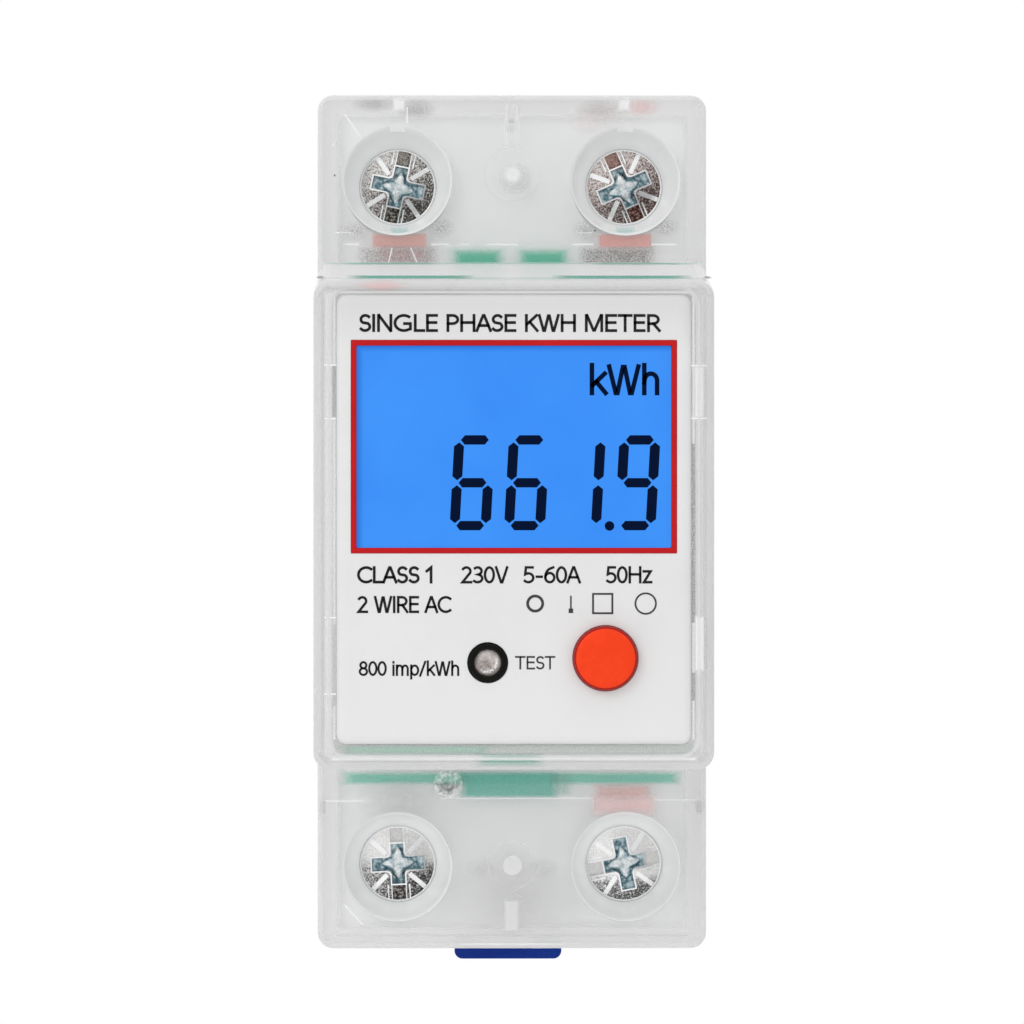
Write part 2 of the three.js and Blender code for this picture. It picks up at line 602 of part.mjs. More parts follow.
const shuntEnd = SHUNT_HALF + GAP;
part("neutral_busbar", join(barEnd(upperRight, 0), barEnd(lowerRight, 0)), copper);
part("live_out_busbar", barEnd(upperLeft, shuntEnd), copper);
part("live_in_busbar", barEnd(lowerLeft, -shuntEnd), tinned);
part("current_shunt", strip(upperLeft.x, -SHUNT_HALF, SHUNT_HALF), manganin);

const leadRadius = 0.55;
const leadFrom = BAR.frontY - GAP;
const leadTo = MAIN_BOARD.backY + GAP;
const leadX = lowerLeft.x;
const upperSense = [
  [leadX, leadFrom, 7.5], [leadX, -24.5, 7.3], [-8.4, -28, 4.6], [-6, -32, 1.8], [-5.4, leadTo, 1.2]];
const lowerSense = [
  [leadX, leadFrom, -7.5], [leadX, -24.5, -7.3], [-8.6, -28, -5], [-6, -32, -2.4], [-5.4, leadTo, -1.8]];
const liveTap = [
  [leadX, leadFrom, -20], [leadX, -25, -19.8], [-9, -29, -17], [-7, -33, -14.6], [-6.6, leadTo, -14.2]];
part("sense_lead_upper", lead(upperSense, leadRadius), leadRed);
part("sense_lead_lower", lead(lowerSense, leadRadius), leadBlack);
part("live_tap_lead", lead(liveTap, leadRadius), leadRed);

// ---------------------------------------------------------------- terminal clamps
// A cheese-head screw with a slot across the whole head and a deeper cross recess.
function terminalScrew() {
  const { headR, headFrontY, headBackY, shankR, tipY } = SCREW;
  const chamfer = 0.3;
  const body = turned(
    [[0, headFrontY], [headR - chamfer, headFrontY], [headR, headFrontY + chamfer], [headR, headBackY],
     [shankR, headBackY], [shankR, tipY - 0.5], [shankR - 0.5, tipY], [0, tipY]]);
  const slotY = headFrontY + 0.9;
  const crossY = headFrontY + 1.6;
  const slot = box(-0.6, 0.6, headFrontY - PAST, slotY, -headR - PAST, headR + PAST);
  const upright = box(-0.65, 0.65, headFrontY - PAST, crossY, -1.9, 1.9);
  const across = box(-2.45, 2.45, headFrontY - PAST, crossY, -0.65, 0.65);
  return cut(body, slot, upright, across);
}

// A square cage whose front wall rides on the screw and whose back wall lifts the wire.
function liftCage() {
  const { halfX, halfZ, frontY, backY, side, frontWall, backWall } = CAGE;
  return cut(
    box(-halfX, halfX, frontY, backY, -halfZ, halfZ),
    box(side - halfX, halfX - side, frontY + frontWall, backY - backWall, -halfZ - PAST, halfZ + PAST),
    disc(SCREW.shankR + GAP, frontY - PAST, frontY + frontWall + BITE, 0, 0, 24));
}

for (const { name, x, z, turn } of TERMINALS) {
  const clamp = new THREE.Group();
  clamp.position.set(x, 0, z);
  meter.add(clamp);
  const screw = part(`terminal_screw_${name}`, terminalScrew(), zinc, clamp);
  screw.rotation.y = THREE.MathUtils.degToRad(turn);
  part(`lift_cage_${name}`, liftCage(), steel, clamp);
}

// ---------------------------------------------------------------- sealing screw and rail clip
const sealGroup = new THREE.Group();
sealGroup.position.set(SEAL.x, 0, SEAL.z);
meter.add(sealGroup);
part(
  "seal_screw",
  cut(
    turned(
      [[0, SEAL.frontY], [SEAL.headR, SEAL.frontY], [SEAL.headR, SEAL.shoulderY], [SEAL.shankR, SEAL.shoulderY],
       [SEAL.shankR, SEAL.tipY], [0, SEAL.tipY]],
      0, 0, 16),
    disc(0.6, SEAL.frontY - PAST, SEAL.frontY + 0.8, 0, 0, 12)),
  sealClear, sealGroup);

// A flat slider with a wedge nose for the rail, two spring arms and a pull tab with an eye.
function railClip() {
  const { half, tipZ, tabZ, y0, y1 } = CLIP;
  const plate = slab(roundedRectangle(-half, half, tabZ, tipZ, 0.8), y0, y1);
  const wedge = sideProfile([[y1 + BITE, tipZ + BITE], [y1 + BITE, tipZ - 1.6], [y1 - 1, tipZ + BITE]], half + PAST);
  const armSlots = [-1, 1].map((hand) =>
    box(hand * 3.2, hand * 4.1, y0 - PAST, y1 + PAST, -36, -22.5));
  const armEnds = [-1, 1].map((hand) =>
    box(hand * 3.2, hand * (half + PAST), y0 - PAST, y1 + PAST, -23.4, -22.5));
  const eye = box(-2.5, 2.5, y0 - PAST, y1 + PAST, -42.3, -41);
  return cut(plate, wedge, ...armSlots, ...armEnds, eye);
}

part("din_clip", railClip(), clipBlue);

export default meter;
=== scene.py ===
"""Looks for a two-module energy meter: frosted case, label plate, blue display, terminals and rail clip."""

import math

import bmesh
import bpy
from mathutils import Matrix, Vector


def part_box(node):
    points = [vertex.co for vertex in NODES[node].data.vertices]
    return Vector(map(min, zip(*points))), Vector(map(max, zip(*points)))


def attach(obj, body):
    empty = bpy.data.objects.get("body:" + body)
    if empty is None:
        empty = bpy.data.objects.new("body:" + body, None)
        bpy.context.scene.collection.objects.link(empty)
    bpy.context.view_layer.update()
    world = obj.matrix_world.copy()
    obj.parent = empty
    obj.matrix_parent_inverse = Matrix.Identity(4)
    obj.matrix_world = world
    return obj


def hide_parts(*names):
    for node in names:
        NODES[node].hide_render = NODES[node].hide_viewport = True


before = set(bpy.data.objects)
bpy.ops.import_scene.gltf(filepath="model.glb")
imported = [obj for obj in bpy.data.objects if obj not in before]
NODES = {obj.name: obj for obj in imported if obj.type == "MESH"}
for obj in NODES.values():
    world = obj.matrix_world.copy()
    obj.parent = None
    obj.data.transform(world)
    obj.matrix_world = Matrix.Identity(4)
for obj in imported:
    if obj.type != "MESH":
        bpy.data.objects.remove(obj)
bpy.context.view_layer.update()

MM = 0.001  # geometry below is drawn in millimetres
BODY = "housing"


# ---------------------------------------------------------------- sizes and places, in millimetres
def box_of(node):
    """A CAD node's lowest and highest corners, to the nearest hundredth."""
    return [[round(value / MM, 2) for value in corner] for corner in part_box(node)]


def front_view(node):
    """Where a CAD node is in front view, how far it reaches each way, and its depths."""
    low, high = box_of(node)
    return {
        "x": round((low[0] + high[0]) / 2, 2), "z": round((low[2] + high[2]) / 2, 2),
        "half_x": round((high[0] - low[0]) / 2, 2), "half_z": round((high[2] - low[2]) / 2, 2),
        "front": low[1], "back": high[1],
    }


(_, NOSE_Y, _), (HALF_WIDTH, _, BODY_HALF) = box_of("front_cover")
LABEL_LOW, LABEL_HIGH = box_of("label_plate")
LCD = front_view("lcd_glass")
BEZEL = front_view("lcd_bezel")
BUTTON = front_view("button_cap")
LAMP = front_view("pulse_led_ring")
SEAL = front_view("seal_screw")
HEAD = front_view("terminal_screw_upper_left")
SLOT_TURNS = {"upper_left": 12, "upper_right": -23, "lower_left": -3, "lower_right": 79}  # clockwise
TERMINALS = {}  # x, z and which end of the meter
for corner_name in SLOT_TURNS:
    screw_view = front_view("terminal_screw_" + corner_name)
    TERMINALS[corner_name] = (screw_view["x"], screw_view["z"], 1 if screw_view["z"] > 0 else -1)

WALL = 1.6
SHOULDER_Y = -40
COVER_BACK_Y = -23.15
INNER_HALF = HALF_WIDTH - WALL
INNER_TOP = BODY_HALF - WALL
SHOULDER_INNER_Y = SHOULDER_Y + WALL
NOSE_TOP = (24.1, 21.7)  # at the shoulders and at the front
NOSE_BOTTOM = (-22.6, -22.2)
NOSE_SHY = 0.02  # the nose stands back from the sides, so that their faces don't meet
TRAY = {"half": 16.3, "z0": -20.85, "z1": 20.8, "y": -57.1, "corner": 1.5}
TRAY_INNER_Y = TRAY["y"] + WALL
LABEL = {
    "half": 15.9, "z0": LABEL_LOW[2], "z1": LABEL_HIGH[2],
    "front": LABEL_LOW[1], "back": -57.4, "corner": 0.9}
HOOK_RANGES = ((9.8, 14.1), (-14.1, -8.6))
BLADE_Z = (5.7, 10.3)  # the snap blades, above and below the middle
CUTTER_Y = SHOULDER_Y - 1  # where the tools that cut the shoulder start
TRAY_CUT = (TRAY["y"] - 0.9, TRAY_INNER_Y + 0.2)  # depths that cut through the tray's floor
WELL_LIFT = 0.35  # how far an upper well's mouth sits above its screw
WELL_PROFILE = (  # radius and depth, from the mouth to the screw
    (5.1, CUTTER_Y), (5.1, -40.02), (4.95, -39.92), (4.85, -39.75), (4.72, -39.3),
    (3.85, -35.7), (3.68, -35.2), (3.61, -34.9), (3.61, -31.8))
TURNED_STEPS = 96  # sides of the large round shapes
AXIS_RADIUS = 1e-5  # stands for a radius of zero


# ---------------------------------------------------------------- mesh tools
def placed(name, data):
    """A new object in the scene."""
    obj = bpy.data.objects.new(name, data)
    bpy.context.scene.collection.objects.link(obj)
    return obj


def make(name, *pieces):
    """One object from (vertices in mm, faces) pieces, welded, with its faces turned outwards."""
    verts, faces = [], []
    for piece_verts, piece_faces in pieces:
        start = len(verts)
        verts += [(x * MM, y * MM, z * MM) for x, y, z in piece_verts]
        faces += [tuple(start + i for i in face) for face in piece_faces]
    mesh = bpy.data.meshes.new(name)
    mesh.from_pydata(verts, [], faces)
    bm = bmesh.new()
    bm.from_mesh(mesh)
    bmesh.ops.remove_doubles(bm, verts=bm.verts, dist=1e-7)
    bmesh.ops.recalc_face_normals(bm, faces=bm.faces)
    bm.to_mesh(mesh)
    bm.free()
    return placed(name, mesh)


def span(side, low, high):
    """A range on the side of zero that the sign gives, in rising order."""
    return sorted((side * low, side * high))


def circle(cx, cz, radius, count=36):
    return [
        (cx + radius * math.cos(2 * math.pi * i / count), cz + radius * math.sin(2 * math.pi * i / count))
        for i in range(count)]


def square(cx, cz, half):
    return [(cx - half, cz - half), (cx + half, cz - half), (cx + half, cz + half), (cx - half, cz + half)]


def bow(cx, cz, rx, rz, start, end, steps=12):
    """Points on an ellipse between two angles in degrees, counted from +X towards +Z."""
    angles = [math.radians(start + (end - start) * i / steps) for i in range(steps + 1)]
    return [(cx + rx * math.cos(a), cz + rz * math.sin(a)) for a in angles]


def loft(rings, closed=False):
    """Skin over rings of equal length, capped at both ends unless it closes on itself."""
    count = len(rings[0])
    verts = [point for ring in rings for point in ring]
    faces = []
    spans = len(rings) if closed else len(rings) - 1
    for i in range(spans):
        here, there = i * count, (i + 1) % len(rings) * count
        for j in range(count):
            k = (j + 1) % count
            faces.append((here + j, here + k, there + k, there + j))
    if not closed:
        faces.append(tuple(reversed(range(count))))
        faces.append(tuple(range((len(rings) - 1) * count, len(rings) * count)))
    return verts, faces


def rounded_ring(x0, x1, z0, z1, radius, y, steps=6):
    radius = max(radius, 0.02)
    corners = (
        (x1 - radius, z0 + radius, -90),
        (x1 - radius, z1 - radius, 0),
        (x0 + radius, z1 - radius, 90),
        (x0 + radius, z0 + radius, 180),
    )
    return [
        (x, y, z)
        for cx, cz, start in corners
        for x, z in bow(cx, cz, radius, radius, start, start + 90, steps)]


def edge_levels(y0, y1, front, back, front_in=None, steps=4):
    """(y, inset) levels of a slab whose front and back edges are rounded."""
    front_in = front if front_in is None else front_in
    angles = [math.radians(90 * s / steps) for s in range(steps + 1)]
    levels = [(y0, 0)]
    if front:
        levels = [(y0 + front * (1 - math.cos(a)), front_in * (1 - math.sin(a))) for a in angles]
    if not back:
        return [*levels, (y1, 0)]
    return levels + [(y1 - back * (1 - math.cos(a)), back * (1 - math.sin(a))) for a in reversed(angles)]


def block(x0, x1, y0, y1, z0, z1, corner=0.02, front=0, back=0, front_in=None, steps=6):
    """A slab with round corners in front view and rounded front and back edges."""
    return loft([
        rounded_ring(x0 + step, x1 - step, z0 + step, z1 - step, corner - step * 0.6, y, steps)
        for y, step in edge_levels(y0, y1, front, back, front_in)])


def lathe(profile, cx=0, cz=0, segments=64, closed=False):
    """A turned shape about a line along Y; the profile lists (radius, y)."""
    rings = [
        [(x, y, z) for x, z in circle(cx, cz, max(r, AXIS_RADIUS), segments)]
        for r, y in profile]
    return loft(rings, closed)


def peg(x, z, radius, y0, y1, segments=64):
    """A plain round tool between two depths."""
    return lathe([(0, y0), (radius, y0), (radius, y1), (0, y1)], x, z, segments)


def prism(outline, y0, y1):
    """An outline of (x, z) points filled between two depths."""
    return loft([[(x, y, z) for x, z in outline] for y in (y0, y1)])


def turned_about(piece, degrees):
    """The piece turned clockwise, as seen from the front, about the line x = z = 0."""
    verts, faces = piece
    c, s = math.cos(math.radians(degrees)), math.sin(math.radians(degrees))
    return [(x * c + z * s, y, z * c - x * s) for x, y, z in verts], faces


def applied(obj):
    """Works an object's modifiers into its mesh."""
    bpy.context.view_layer.update()
    seen = obj.evaluated_get(bpy.context.evaluated_depsgraph_get())
    made = bpy.data.meshes.new_from_object(seen)
    obj.modifiers.clear()
    obj.data = made
    return obj


def carve(obj, operation, *pieces, material=None):
    """Joins or cuts with closed pieces, which don't overlap each other; the new faces get the material."""
    tool = make("tool", *pieces)
    if material:
        tool.data.materials.append(material)
    modifier = obj.modifiers.new("carve", "BOOLEAN")
    modifier.object = tool
    modifier.operation = operation
    modifier.solver = "EXACT"
    modifier.material_mode = "TRANSFER"
    applied(obj)
    bpy.data.objects.remove(tool)


def cut(obj, *pieces, material=None):
    carve(obj, "DIFFERENCE", *pieces, material=material)


def fuse(obj, *pieces, material=None):
    carve(obj, "UNION", *pieces, material=material)


def bevel(obj, width, angle=40, segments=2):
    """Rounds the sharp edges of an object by a width in mm."""
    modifier = obj.modifiers.new("edge", "BEVEL")
    modifier.width = width * MM
    modifier.segments = segments
    modifier.limit_method = "ANGLE"
    modifier.angle_limit = math.radians(angle)
    modifier.harden_normals = False
    return applied(obj)


def from_node(node):
    """A free copy of a CAD node's mesh with its flat faces merged."""
    mesh = NODES[node].data.copy()
    mesh.materials.clear()
    obj = placed(node, mesh)
    bm = bmesh.new()
    bm.from_mesh(mesh)
    bmesh.ops.remove_doubles(bm, verts=bm.verts, dist=1e-6)
    bmesh.ops.dissolve_limit(
        bm, angle_limit=math.radians(0.5), verts=bm.verts, edges=bm.edges, delimit={"NORMAL"}
    )
    bm.to_mesh(mesh)
    bm.free()
    return obj


def finish_piece(obj, body=BODY, replaces=(), materials=(), angle=35):
    """Smooths a piece, dresses it, and says which body it rides on and which nodes it stands for."""
    for polygon in obj.data.polygons:
        polygon.use_smooth = True
    obj.data.set_sharp_from_angle(angle=math.radians(angle))
    if materials:
        obj.data.materials.clear()
        for material in materials:
            obj.data.materials.append(material)
    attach(obj, body)
    if replaces:
        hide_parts(*replaces)


# ---------------------------------------------------------------- materials
class Nodes:
    """A node tree built up step by step."""

    def __init__(self, owner):
        owner.use_nodes = True
        self.tree = owner.node_tree
        self.tree.nodes.clear()

    def node(self, kind, **settings):
        made = self.tree.nodes.new(kind)
        for key, value in settings.items():
            setattr(made, key, value)
        return made

    def feed(self, socket, value):
        """Gives a socket a plain value, a colour or another node's output."""
        if isinstance(value, bpy.types.NodeSocket):
            self.tree.links.new(value, socket)
        elif isinstance(value, (tuple, list)):
            socket.default_value = (*value, 1)[:4]
        elif value is not None:
            socket.default_value = value

    def ranged(self, value, low, high, to_low=0.0, to_high=1.0):
        made = self.node("ShaderNodeMapRange")
        limits = {"From Min": low, "From Max": high, "To Min": to_low, "To Max": to_high}
        for key, number in limits.items():
            made.inputs[key].default_value = number
        self.feed(made.inputs["Value"], value)
        return made.outputs[0]

    def math(self, operation, a, b=None):
        made = self.node("ShaderNodeMath", operation=operation)
        for socket, value in zip(made.inputs, (a, b)):
            self.feed(socket, value)
        return made.outputs[0]

    def apart(self, vector):
        """The three coordinates of a vector."""
        made = self.node("ShaderNodeSeparateXYZ")
        self.feed(made.inputs[0], vector)
        return made.outputs

    def mix(self, factor, a, b):
        made = self.node("ShaderNodeMix", data_type="RGBA")
        for index, value in ((0, factor), (6, a), (7, b)):
            self.feed(made.inputs[index], value)
        return made.outputs[2]


class Shader(Nodes):
    """A material around one Principled node."""

    def __init__(self, name):
        self.material = bpy.data.materials.new(name)
        super().__init__(self.material)
        output = self.node("ShaderNodeOutputMaterial")
        self.principled = self.node("ShaderNodeBsdfPrincipled")
        self.feed(output.inputs[0], self.principled.outputs[0])
        self.where = self.node("ShaderNodeTexCoord").outputs["Object"]

    def set(self, name, value):
        self.feed(self.principled.inputs[name], value)

    def stretched(self, scale):
        mapping = self.node("ShaderNodeMapping")
        mapping.inputs["Scale"].default_value = scale
        self.feed(mapping.inputs["Vector"], self.where)
        return mapping.outputs[0]

    def noise(self, size, detail=3, rough=0.6, vector=None):
        """Noise whose largest features are about size mm across."""
        made = self.node("ShaderNodeTexNoise")
        made.inputs["Scale"].default_value = 1 / (size * MM)
        made.inputs["Detail"].default_value = detail
        made.inputs["Roughness"].default_value = rough
        self.feed(made.inputs["Vector"], vector or self.where)
        return made.outputs["Fac"]

    def shades(self, dark, light, size, detail=3, rough=0.6):
        """Two colours clouded into each other."""
        return self.mix(self.ranged(self.noise(size, detail, rough), 0.3, 0.7), dark, light)

    def roughness(self, low, high, size, detail=3, rough=0.6):
        self.set("Roughness", self.ranged(self.noise(size, detail, rough), 0.3, 0.7, low, high))

    def glow(self, colour, strength):
        self.set("Emission Color", colour)
        self.set("Emission Strength", strength)

    def axis(self, index):
        """One coordinate of the surface point, in mm."""
        return self.math("MULTIPLY", self.apart(self.where)[index], 1 / MM)

    def far(self, dx, dz):
        """The length of an offset in front view."""
        squares = [self.math("MULTIPLY", d, d) for d in (dx, dz)]
        return self.math("SQRT", self.math("ADD", *squares))

    def bump(self, height, strength, depth=0.02):
        made = self.node("ShaderNodeBump")
        made.inputs["Strength"].default_value = strength
        made.inputs["Distance"].default_value = depth * MM
        self.feed(made.inputs["Height"], height)
        self.set("Normal", made.outputs[0])


CLOUD = 6.0  # size of the faint clouding in moulded plastic, in mm
RUB = 2.4  # size of its rub marks


def srgb(red, green, blue):
    """A display colour (0 to 255) as the linear colour a shader takes."""
    return tuple(((v / 255 + 0.055) / 1.055) ** 2.4 for v in (red, green, blue))


def moulded(name, dark, light, rough, grain, bump, alpha=1.0, specular=0.5, glow=0.0):
    """Moulded plastic: fine grain, faint clouding and rub marks; glow is painted light, an even self-lit
    brightness that stands in for light scattered within it.
    """
    s = Shader(name)
    s.set("Base Color", s.shades(dark, light, CLOUD))
    s.roughness(*rough, RUB, 5, 0.7)
    s.set("Specular IOR Level", specular)
    if alpha != 1.0:
        s.set("Alpha", alpha)
    if glow:
        s.glow(light, glow)
    s.bump(s.noise(grain, 4), bump)
    return s.material


def metal(name, dark, light, rough, grain, spread=(0.35, 0.65), bump=0.3, stretch=(1, 1, 1)):
    """Bare or plated metal with a fine speckled grain."""
    s = Shader(name)
    fine = s.noise(grain, 3, 0.65, s.stretched(stretch))
    s.set("Base Color", s.mix(s.ranged(fine, *spread), dark, light))
    s.set("Metallic", 1.0)
    s.roughness(*rough, 1.5, 4)
    s.bump(fine, bump)
    return s.material


# a glow, where one is given, is painted light that keeps the milky plastic bright
# name, dark and light tone, roughness range, grain in mm, bump
CASE_CLEAR = moulded(
    "case_skin", (0.74, 0.74, 0.74), (0.80, 0.80, 0.80), (0.2, 0.3), 0.15, 0.06, alpha=0.1)
CASE_EDGE = moulded(
    "case_edge", (0.76, 0.76, 0.765), (0.82, 0.82, 0.82), (0.25, 0.35), 0.15, 0.06, alpha=0.45, glow=0.02)
CASE_DIMPLE = moulded(
    "case_dimple", (0.82, 0.82, 0.82), (0.86, 0.86, 0.86), (0.15, 0.25), 0.15, 0.12, alpha=0.12)
CASE_VEIL = moulded(
    "case_veil", (0.845, 0.85, 0.85), (0.885, 0.89, 0.89), (0.4, 0.55), 0.18, 0.3, alpha=0.92, glow=0.07)
CASE_REAR = moulded("case_rear", (0.78, 0.785, 0.785), (0.84, 0.845, 0.84), (0.35, 0.5), 0.15, 0.2)
PRINT = moulded(
    "label_print", (0.012, 0.012, 0.013), (0.02, 0.02, 0.021), (0.5, 0.6), 0.05, 0.1, specular=0.1)
PRINT_GREY = moulded(
    "label_print_grey", (0.05, 0.05, 0.052), (0.07, 0.07, 0.072), (0.5, 0.6), 0.05, 0.1, specular=0.1)
BEZEL_RED = moulded(
    "bezel_red", (0.50, 0.006, 0.009), (0.58, 0.010, 0.012), (0.4, 0.5), 0.1, 0.15, specular=0.15)
RING_BLACK = moulded(
    "ring_black", (0.004, 0.004, 0.003), (0.009, 0.009, 0.007), (0.35, 0.5), 0.1, 0.15, specular=0.08)
CLIP_BLUE = moulded(
    "clip_blue", (0.001, 0.022, 0.22), (0.003, 0.034, 0.28), (0.35, 0.5), 0.15, 0.2, specular=0.15)
BLACK = moulded("black_moulding", (0.010, 0.010, 0.011), (0.022, 0.022, 0.023), (0.4, 0.55), 0.1, 0.3)
WHITE_MOULDING = moulded("white_moulding", (0.70, 0.71, 0.70), (0.80, 0.80, 0.79), (0.4, 0.6), 0.12, 0.2)
RUBBER = moulded("layered_rubber", (0.20, 0.12, 0.13), (0.33, 0.22, 0.24), (0.6, 0.75), 0.2, 0.3)
YELLOW = moulded("yellow_box", (0.60, 0.40, 0.05), (0.72, 0.50, 0.09), (0.4, 0.55), 0.15, 0.2)
BLUE_SLEEVE = moulded("blue_sleeve", (0.03, 0.12, 0.33), (0.05, 0.18, 0.42), (0.3, 0.45), 0.15, 0.2)
LACQUER = moulded("blue_lacquer", (0.10, 0.28, 0.36), (0.16, 0.36, 0.44), (0.25, 0.4), 0.3, 0.3)
LEAD_RED = moulded("red_insulation", (0.42, 0.02, 0.015), (0.52, 0.035, 0.025), (0.35, 0.5), 0.2, 0.2)
LEAD_BLACK = moulded("black_insulation", (0.012, 0.012, 0.012), (0.03, 0.03, 0.03), (0.35, 0.5), 0.2, 0.2)
FLOOR_PALE = moulded("floor_pale", (0.86, 0.86, 0.86), (0.9, 0.9, 0.9), (0.6, 0.8), 0.5, 0.1)

# name, dark and light tone, roughness range, grain in mm
COPPER = metal("bare_copper", (0.50, 0.16, 0.09), (0.85, 0.42, 0.30), (0.3, 0.5), 0.2, stretch=(1, 1, 0.2))
TINNED = metal("tinned_bar", (0.40, 0.41, 0.42), (0.70, 0.71, 0.72), (0.3, 0.45), 0.2, stretch=(1, 1, 0.2))
MANGANIN = metal("resistance_alloy", (0.28, 0.21, 0.15), (0.50, 0.40, 0.30), (0.35, 0.5), 0.2)
CAGE_STEEL = metal("cage_steel", (0.42, 0.43, 0.44), (0.75, 0.76, 0.77), (0.3, 0.45), 0.15)
CAN = metal("drawn_can", (0.55, 0.56, 0.57), (0.80, 0.81, 0.82), (0.2, 0.35), 0.3, stretch=(1, 0.2, 1))
POLISHED = metal("zinc_rim", (0.92, 0.93, 0.94), (1.0, 1.0, 1.0), (0.12, 0.22), 0.2, bump=0.1)
RECESS = metal(
    "zinc_recess", (0.09, 0.19, 0.24), (0.78, 0.92, 0.95), (0.25, 0.4), 0.5, (0.38, 0.64), bump=0.4)
STAR = metal("zinc_star", (0.50, 0.62, 0.66), (0.96, 0.99, 1.0), (0.2, 0.35), 0.35, (0.36, 0.56), bump=0.5)


def well_material():
    """Milky plastic with painted light: paler towards the foot of a well, where less light falls, and a
    painted glow all over.
    """
    s = Shader("case_well")
    cloudy = s.ranged(s.noise(CLOUD), 0.3, 0.7)
    rim = s.mix(cloudy, (0.585, 0.59, 0.59), (0.615, 0.62, 0.62))
    foot = s.mix(cloudy, (0.74, 0.745, 0.745), (0.77, 0.775, 0.775))
    s.set("Base Color", s.mix(s.ranged(s.axis(1), -39.8, -36.5), rim, foot))
    s.roughness(0.3, 0.45, RUB, 5, 0.7)
    s.set("Specular IOR Level", 0.3)
    s.set("Alpha", 0.92)
    s.glow((0.72, 0.725, 0.725), 0.285)
    s.bump(s.noise(0.15, 4), 0.1)
    return s.material


def label_material():
    """White printed plastic with painted shade, darker at the head of the plate, where the cover shades it,
    painted light that makes it paler towards its foot, and a faint painted glow.
    """
    s = Shader("label_white")
    upright = s.axis(2)
    white = s.shades((0.765, 0.765, 0.765), (0.80, 0.80, 0.80), CLOUD)
    lower = s.mix(s.ranged(upright, -9, -19), white, (0.80, 0.80, 0.80))
    s.set("Base Color", s.mix(s.ranged(upright, 15.5, 19.5), lower, (0.705, 0.705, 0.705)))
    s.roughness(0.42, 0.55, RUB, 5, 0.7)
    s.glow((1.0, 1.0, 1.0), 0.02)
    s.bump(s.noise(0.08, 4), 0.12)
    return s.material


def screw_metal(name, x, z, dark, light, sheen_share, sheen_from):
    """Speckled zinc about (x, z), with painted shade that darkens it towards the lower right and a painted
    sheen that pales it above a given height.
    """
    s = Shader(name)
    place = s.apart(s.node("ShaderNodeNewGeometry").outputs["Position"])
    dx = s.math("SUBTRACT", s.math("MULTIPLY", place[0], 1 / MM), x)
    dz = s.math("SUBTRACT", s.math("MULTIPLY", place[2], 1 / MM), z)
    fine = s.noise(0.15, 3, 0.7)
    # painted shade: the metal darkens towards the lower right
    lean = s.math("MULTIPLY", s.math("SUBTRACT", s.math("MULTIPLY", dx, 0.7), dz), 0.022)
    speck = s.ranged(s.math("SUBTRACT", fine, lean), 0.42, 0.60)
    # painted sheen: the metal pales above the given height
    painted_sheen = s.math("MULTIPLY", s.ranged(dz, sheen_from - 0.5, sheen_from + 0.5), sheen_share)
    s.set("Base Color", s.mix(painted_sheen, s.mix(speck, dark, light), (0.93, 0.93, 0.92)))
    s.set("Metallic", 1.0)
    s.roughness(0.2, 0.32, 1.5, 4)
    s.bump(fine, 0.3)
    return s.material


def board_material():
    """Green solder mask with darker tracks over it."""
    s = Shader("circuit_board")
    broad = s.noise(2.5, 4)
    tracks = s.node("ShaderNodeTexVoronoi", distance="CHEBYCHEV")
    tracks.inputs["Scale"].default_value = 1 / (2.2 * MM)
    s.feed(tracks.inputs["Vector"], s.where)
    lines = s.ranged(tracks.outputs["Distance"], 0.42, 0.5)
    mask = s.mix(s.ranged(broad, 0.3, 0.7), (0.012, 0.30, 0.19), (0.02, 0.38, 0.26))
    s.set("Base Color", s.mix(lines, mask, (0.008, 0.20, 0.13)))
    s.set("Roughness", s.ranged(broad, 0.3, 0.7, 0.3, 0.45))
    s.bump(lines, 0.3, 0.03)
    return s.material


def lcd_material():
    """Backlit glass: an even blue glow, with painted shade from the bezel along the left and top edges."""
    s = Shader("lcd_blue")
    left = s.ranged(s.axis(0), -14.2, -13.45)
    top = s.ranged(s.axis(2), 15.9, 15.25)
    shade = s.math("MINIMUM", left, top)
    lit = s.shades((0.040, 0.27, 0.93), (0.050, 0.30, 0.96), 7, 2)
    s.set("Base Color", s.mix(shade, (0.004, 0.02, 0.08), (0.006, 0.03, 0.10)))
    s.glow(s.mix(shade, (0.016, 0.16, 0.66), lit), 0.9)
    s.roughness(0.16, 0.24, 0.6, 4)
    s.set("Specular IOR Level", 0.1)
    return s.material


def segment_material():
    s = Shader("lcd_segment")
    s.set("Base Color", s.mix(s.noise(0.5), (0.0008, 0.005, 0.026), (0.0012, 0.007, 0.034)))
    s.roughness(0.45, 0.6, 0.8)
    s.set("Specular IOR Level", 0.03)
    return s.material


def button_material():
    """Orange red cap, with painted shade that darkens the steep edge of its crown."""
    s = Shader("button_red")
    dx = s.math("SUBTRACT", s.axis(0), BUTTON["x"])
    dz = s.math("SUBTRACT", s.axis(2), BUTTON["z"])
    edge = s.ranged(s.far(dx, dz), 2.62, 2.7)
    face = s.shades((0.90, 0.050, 0.008), (0.98, 0.062, 0.012), 1.5)
    s.set("Base Color", s.mix(edge, face, (0.36, 0.006, 0.004)))
    s.roughness(0.4, 0.5, 0.8, 4)
    s.set("Specular IOR Level", 0.12)
    s.bump(s.noise(0.12), 0.1)
    return s.material


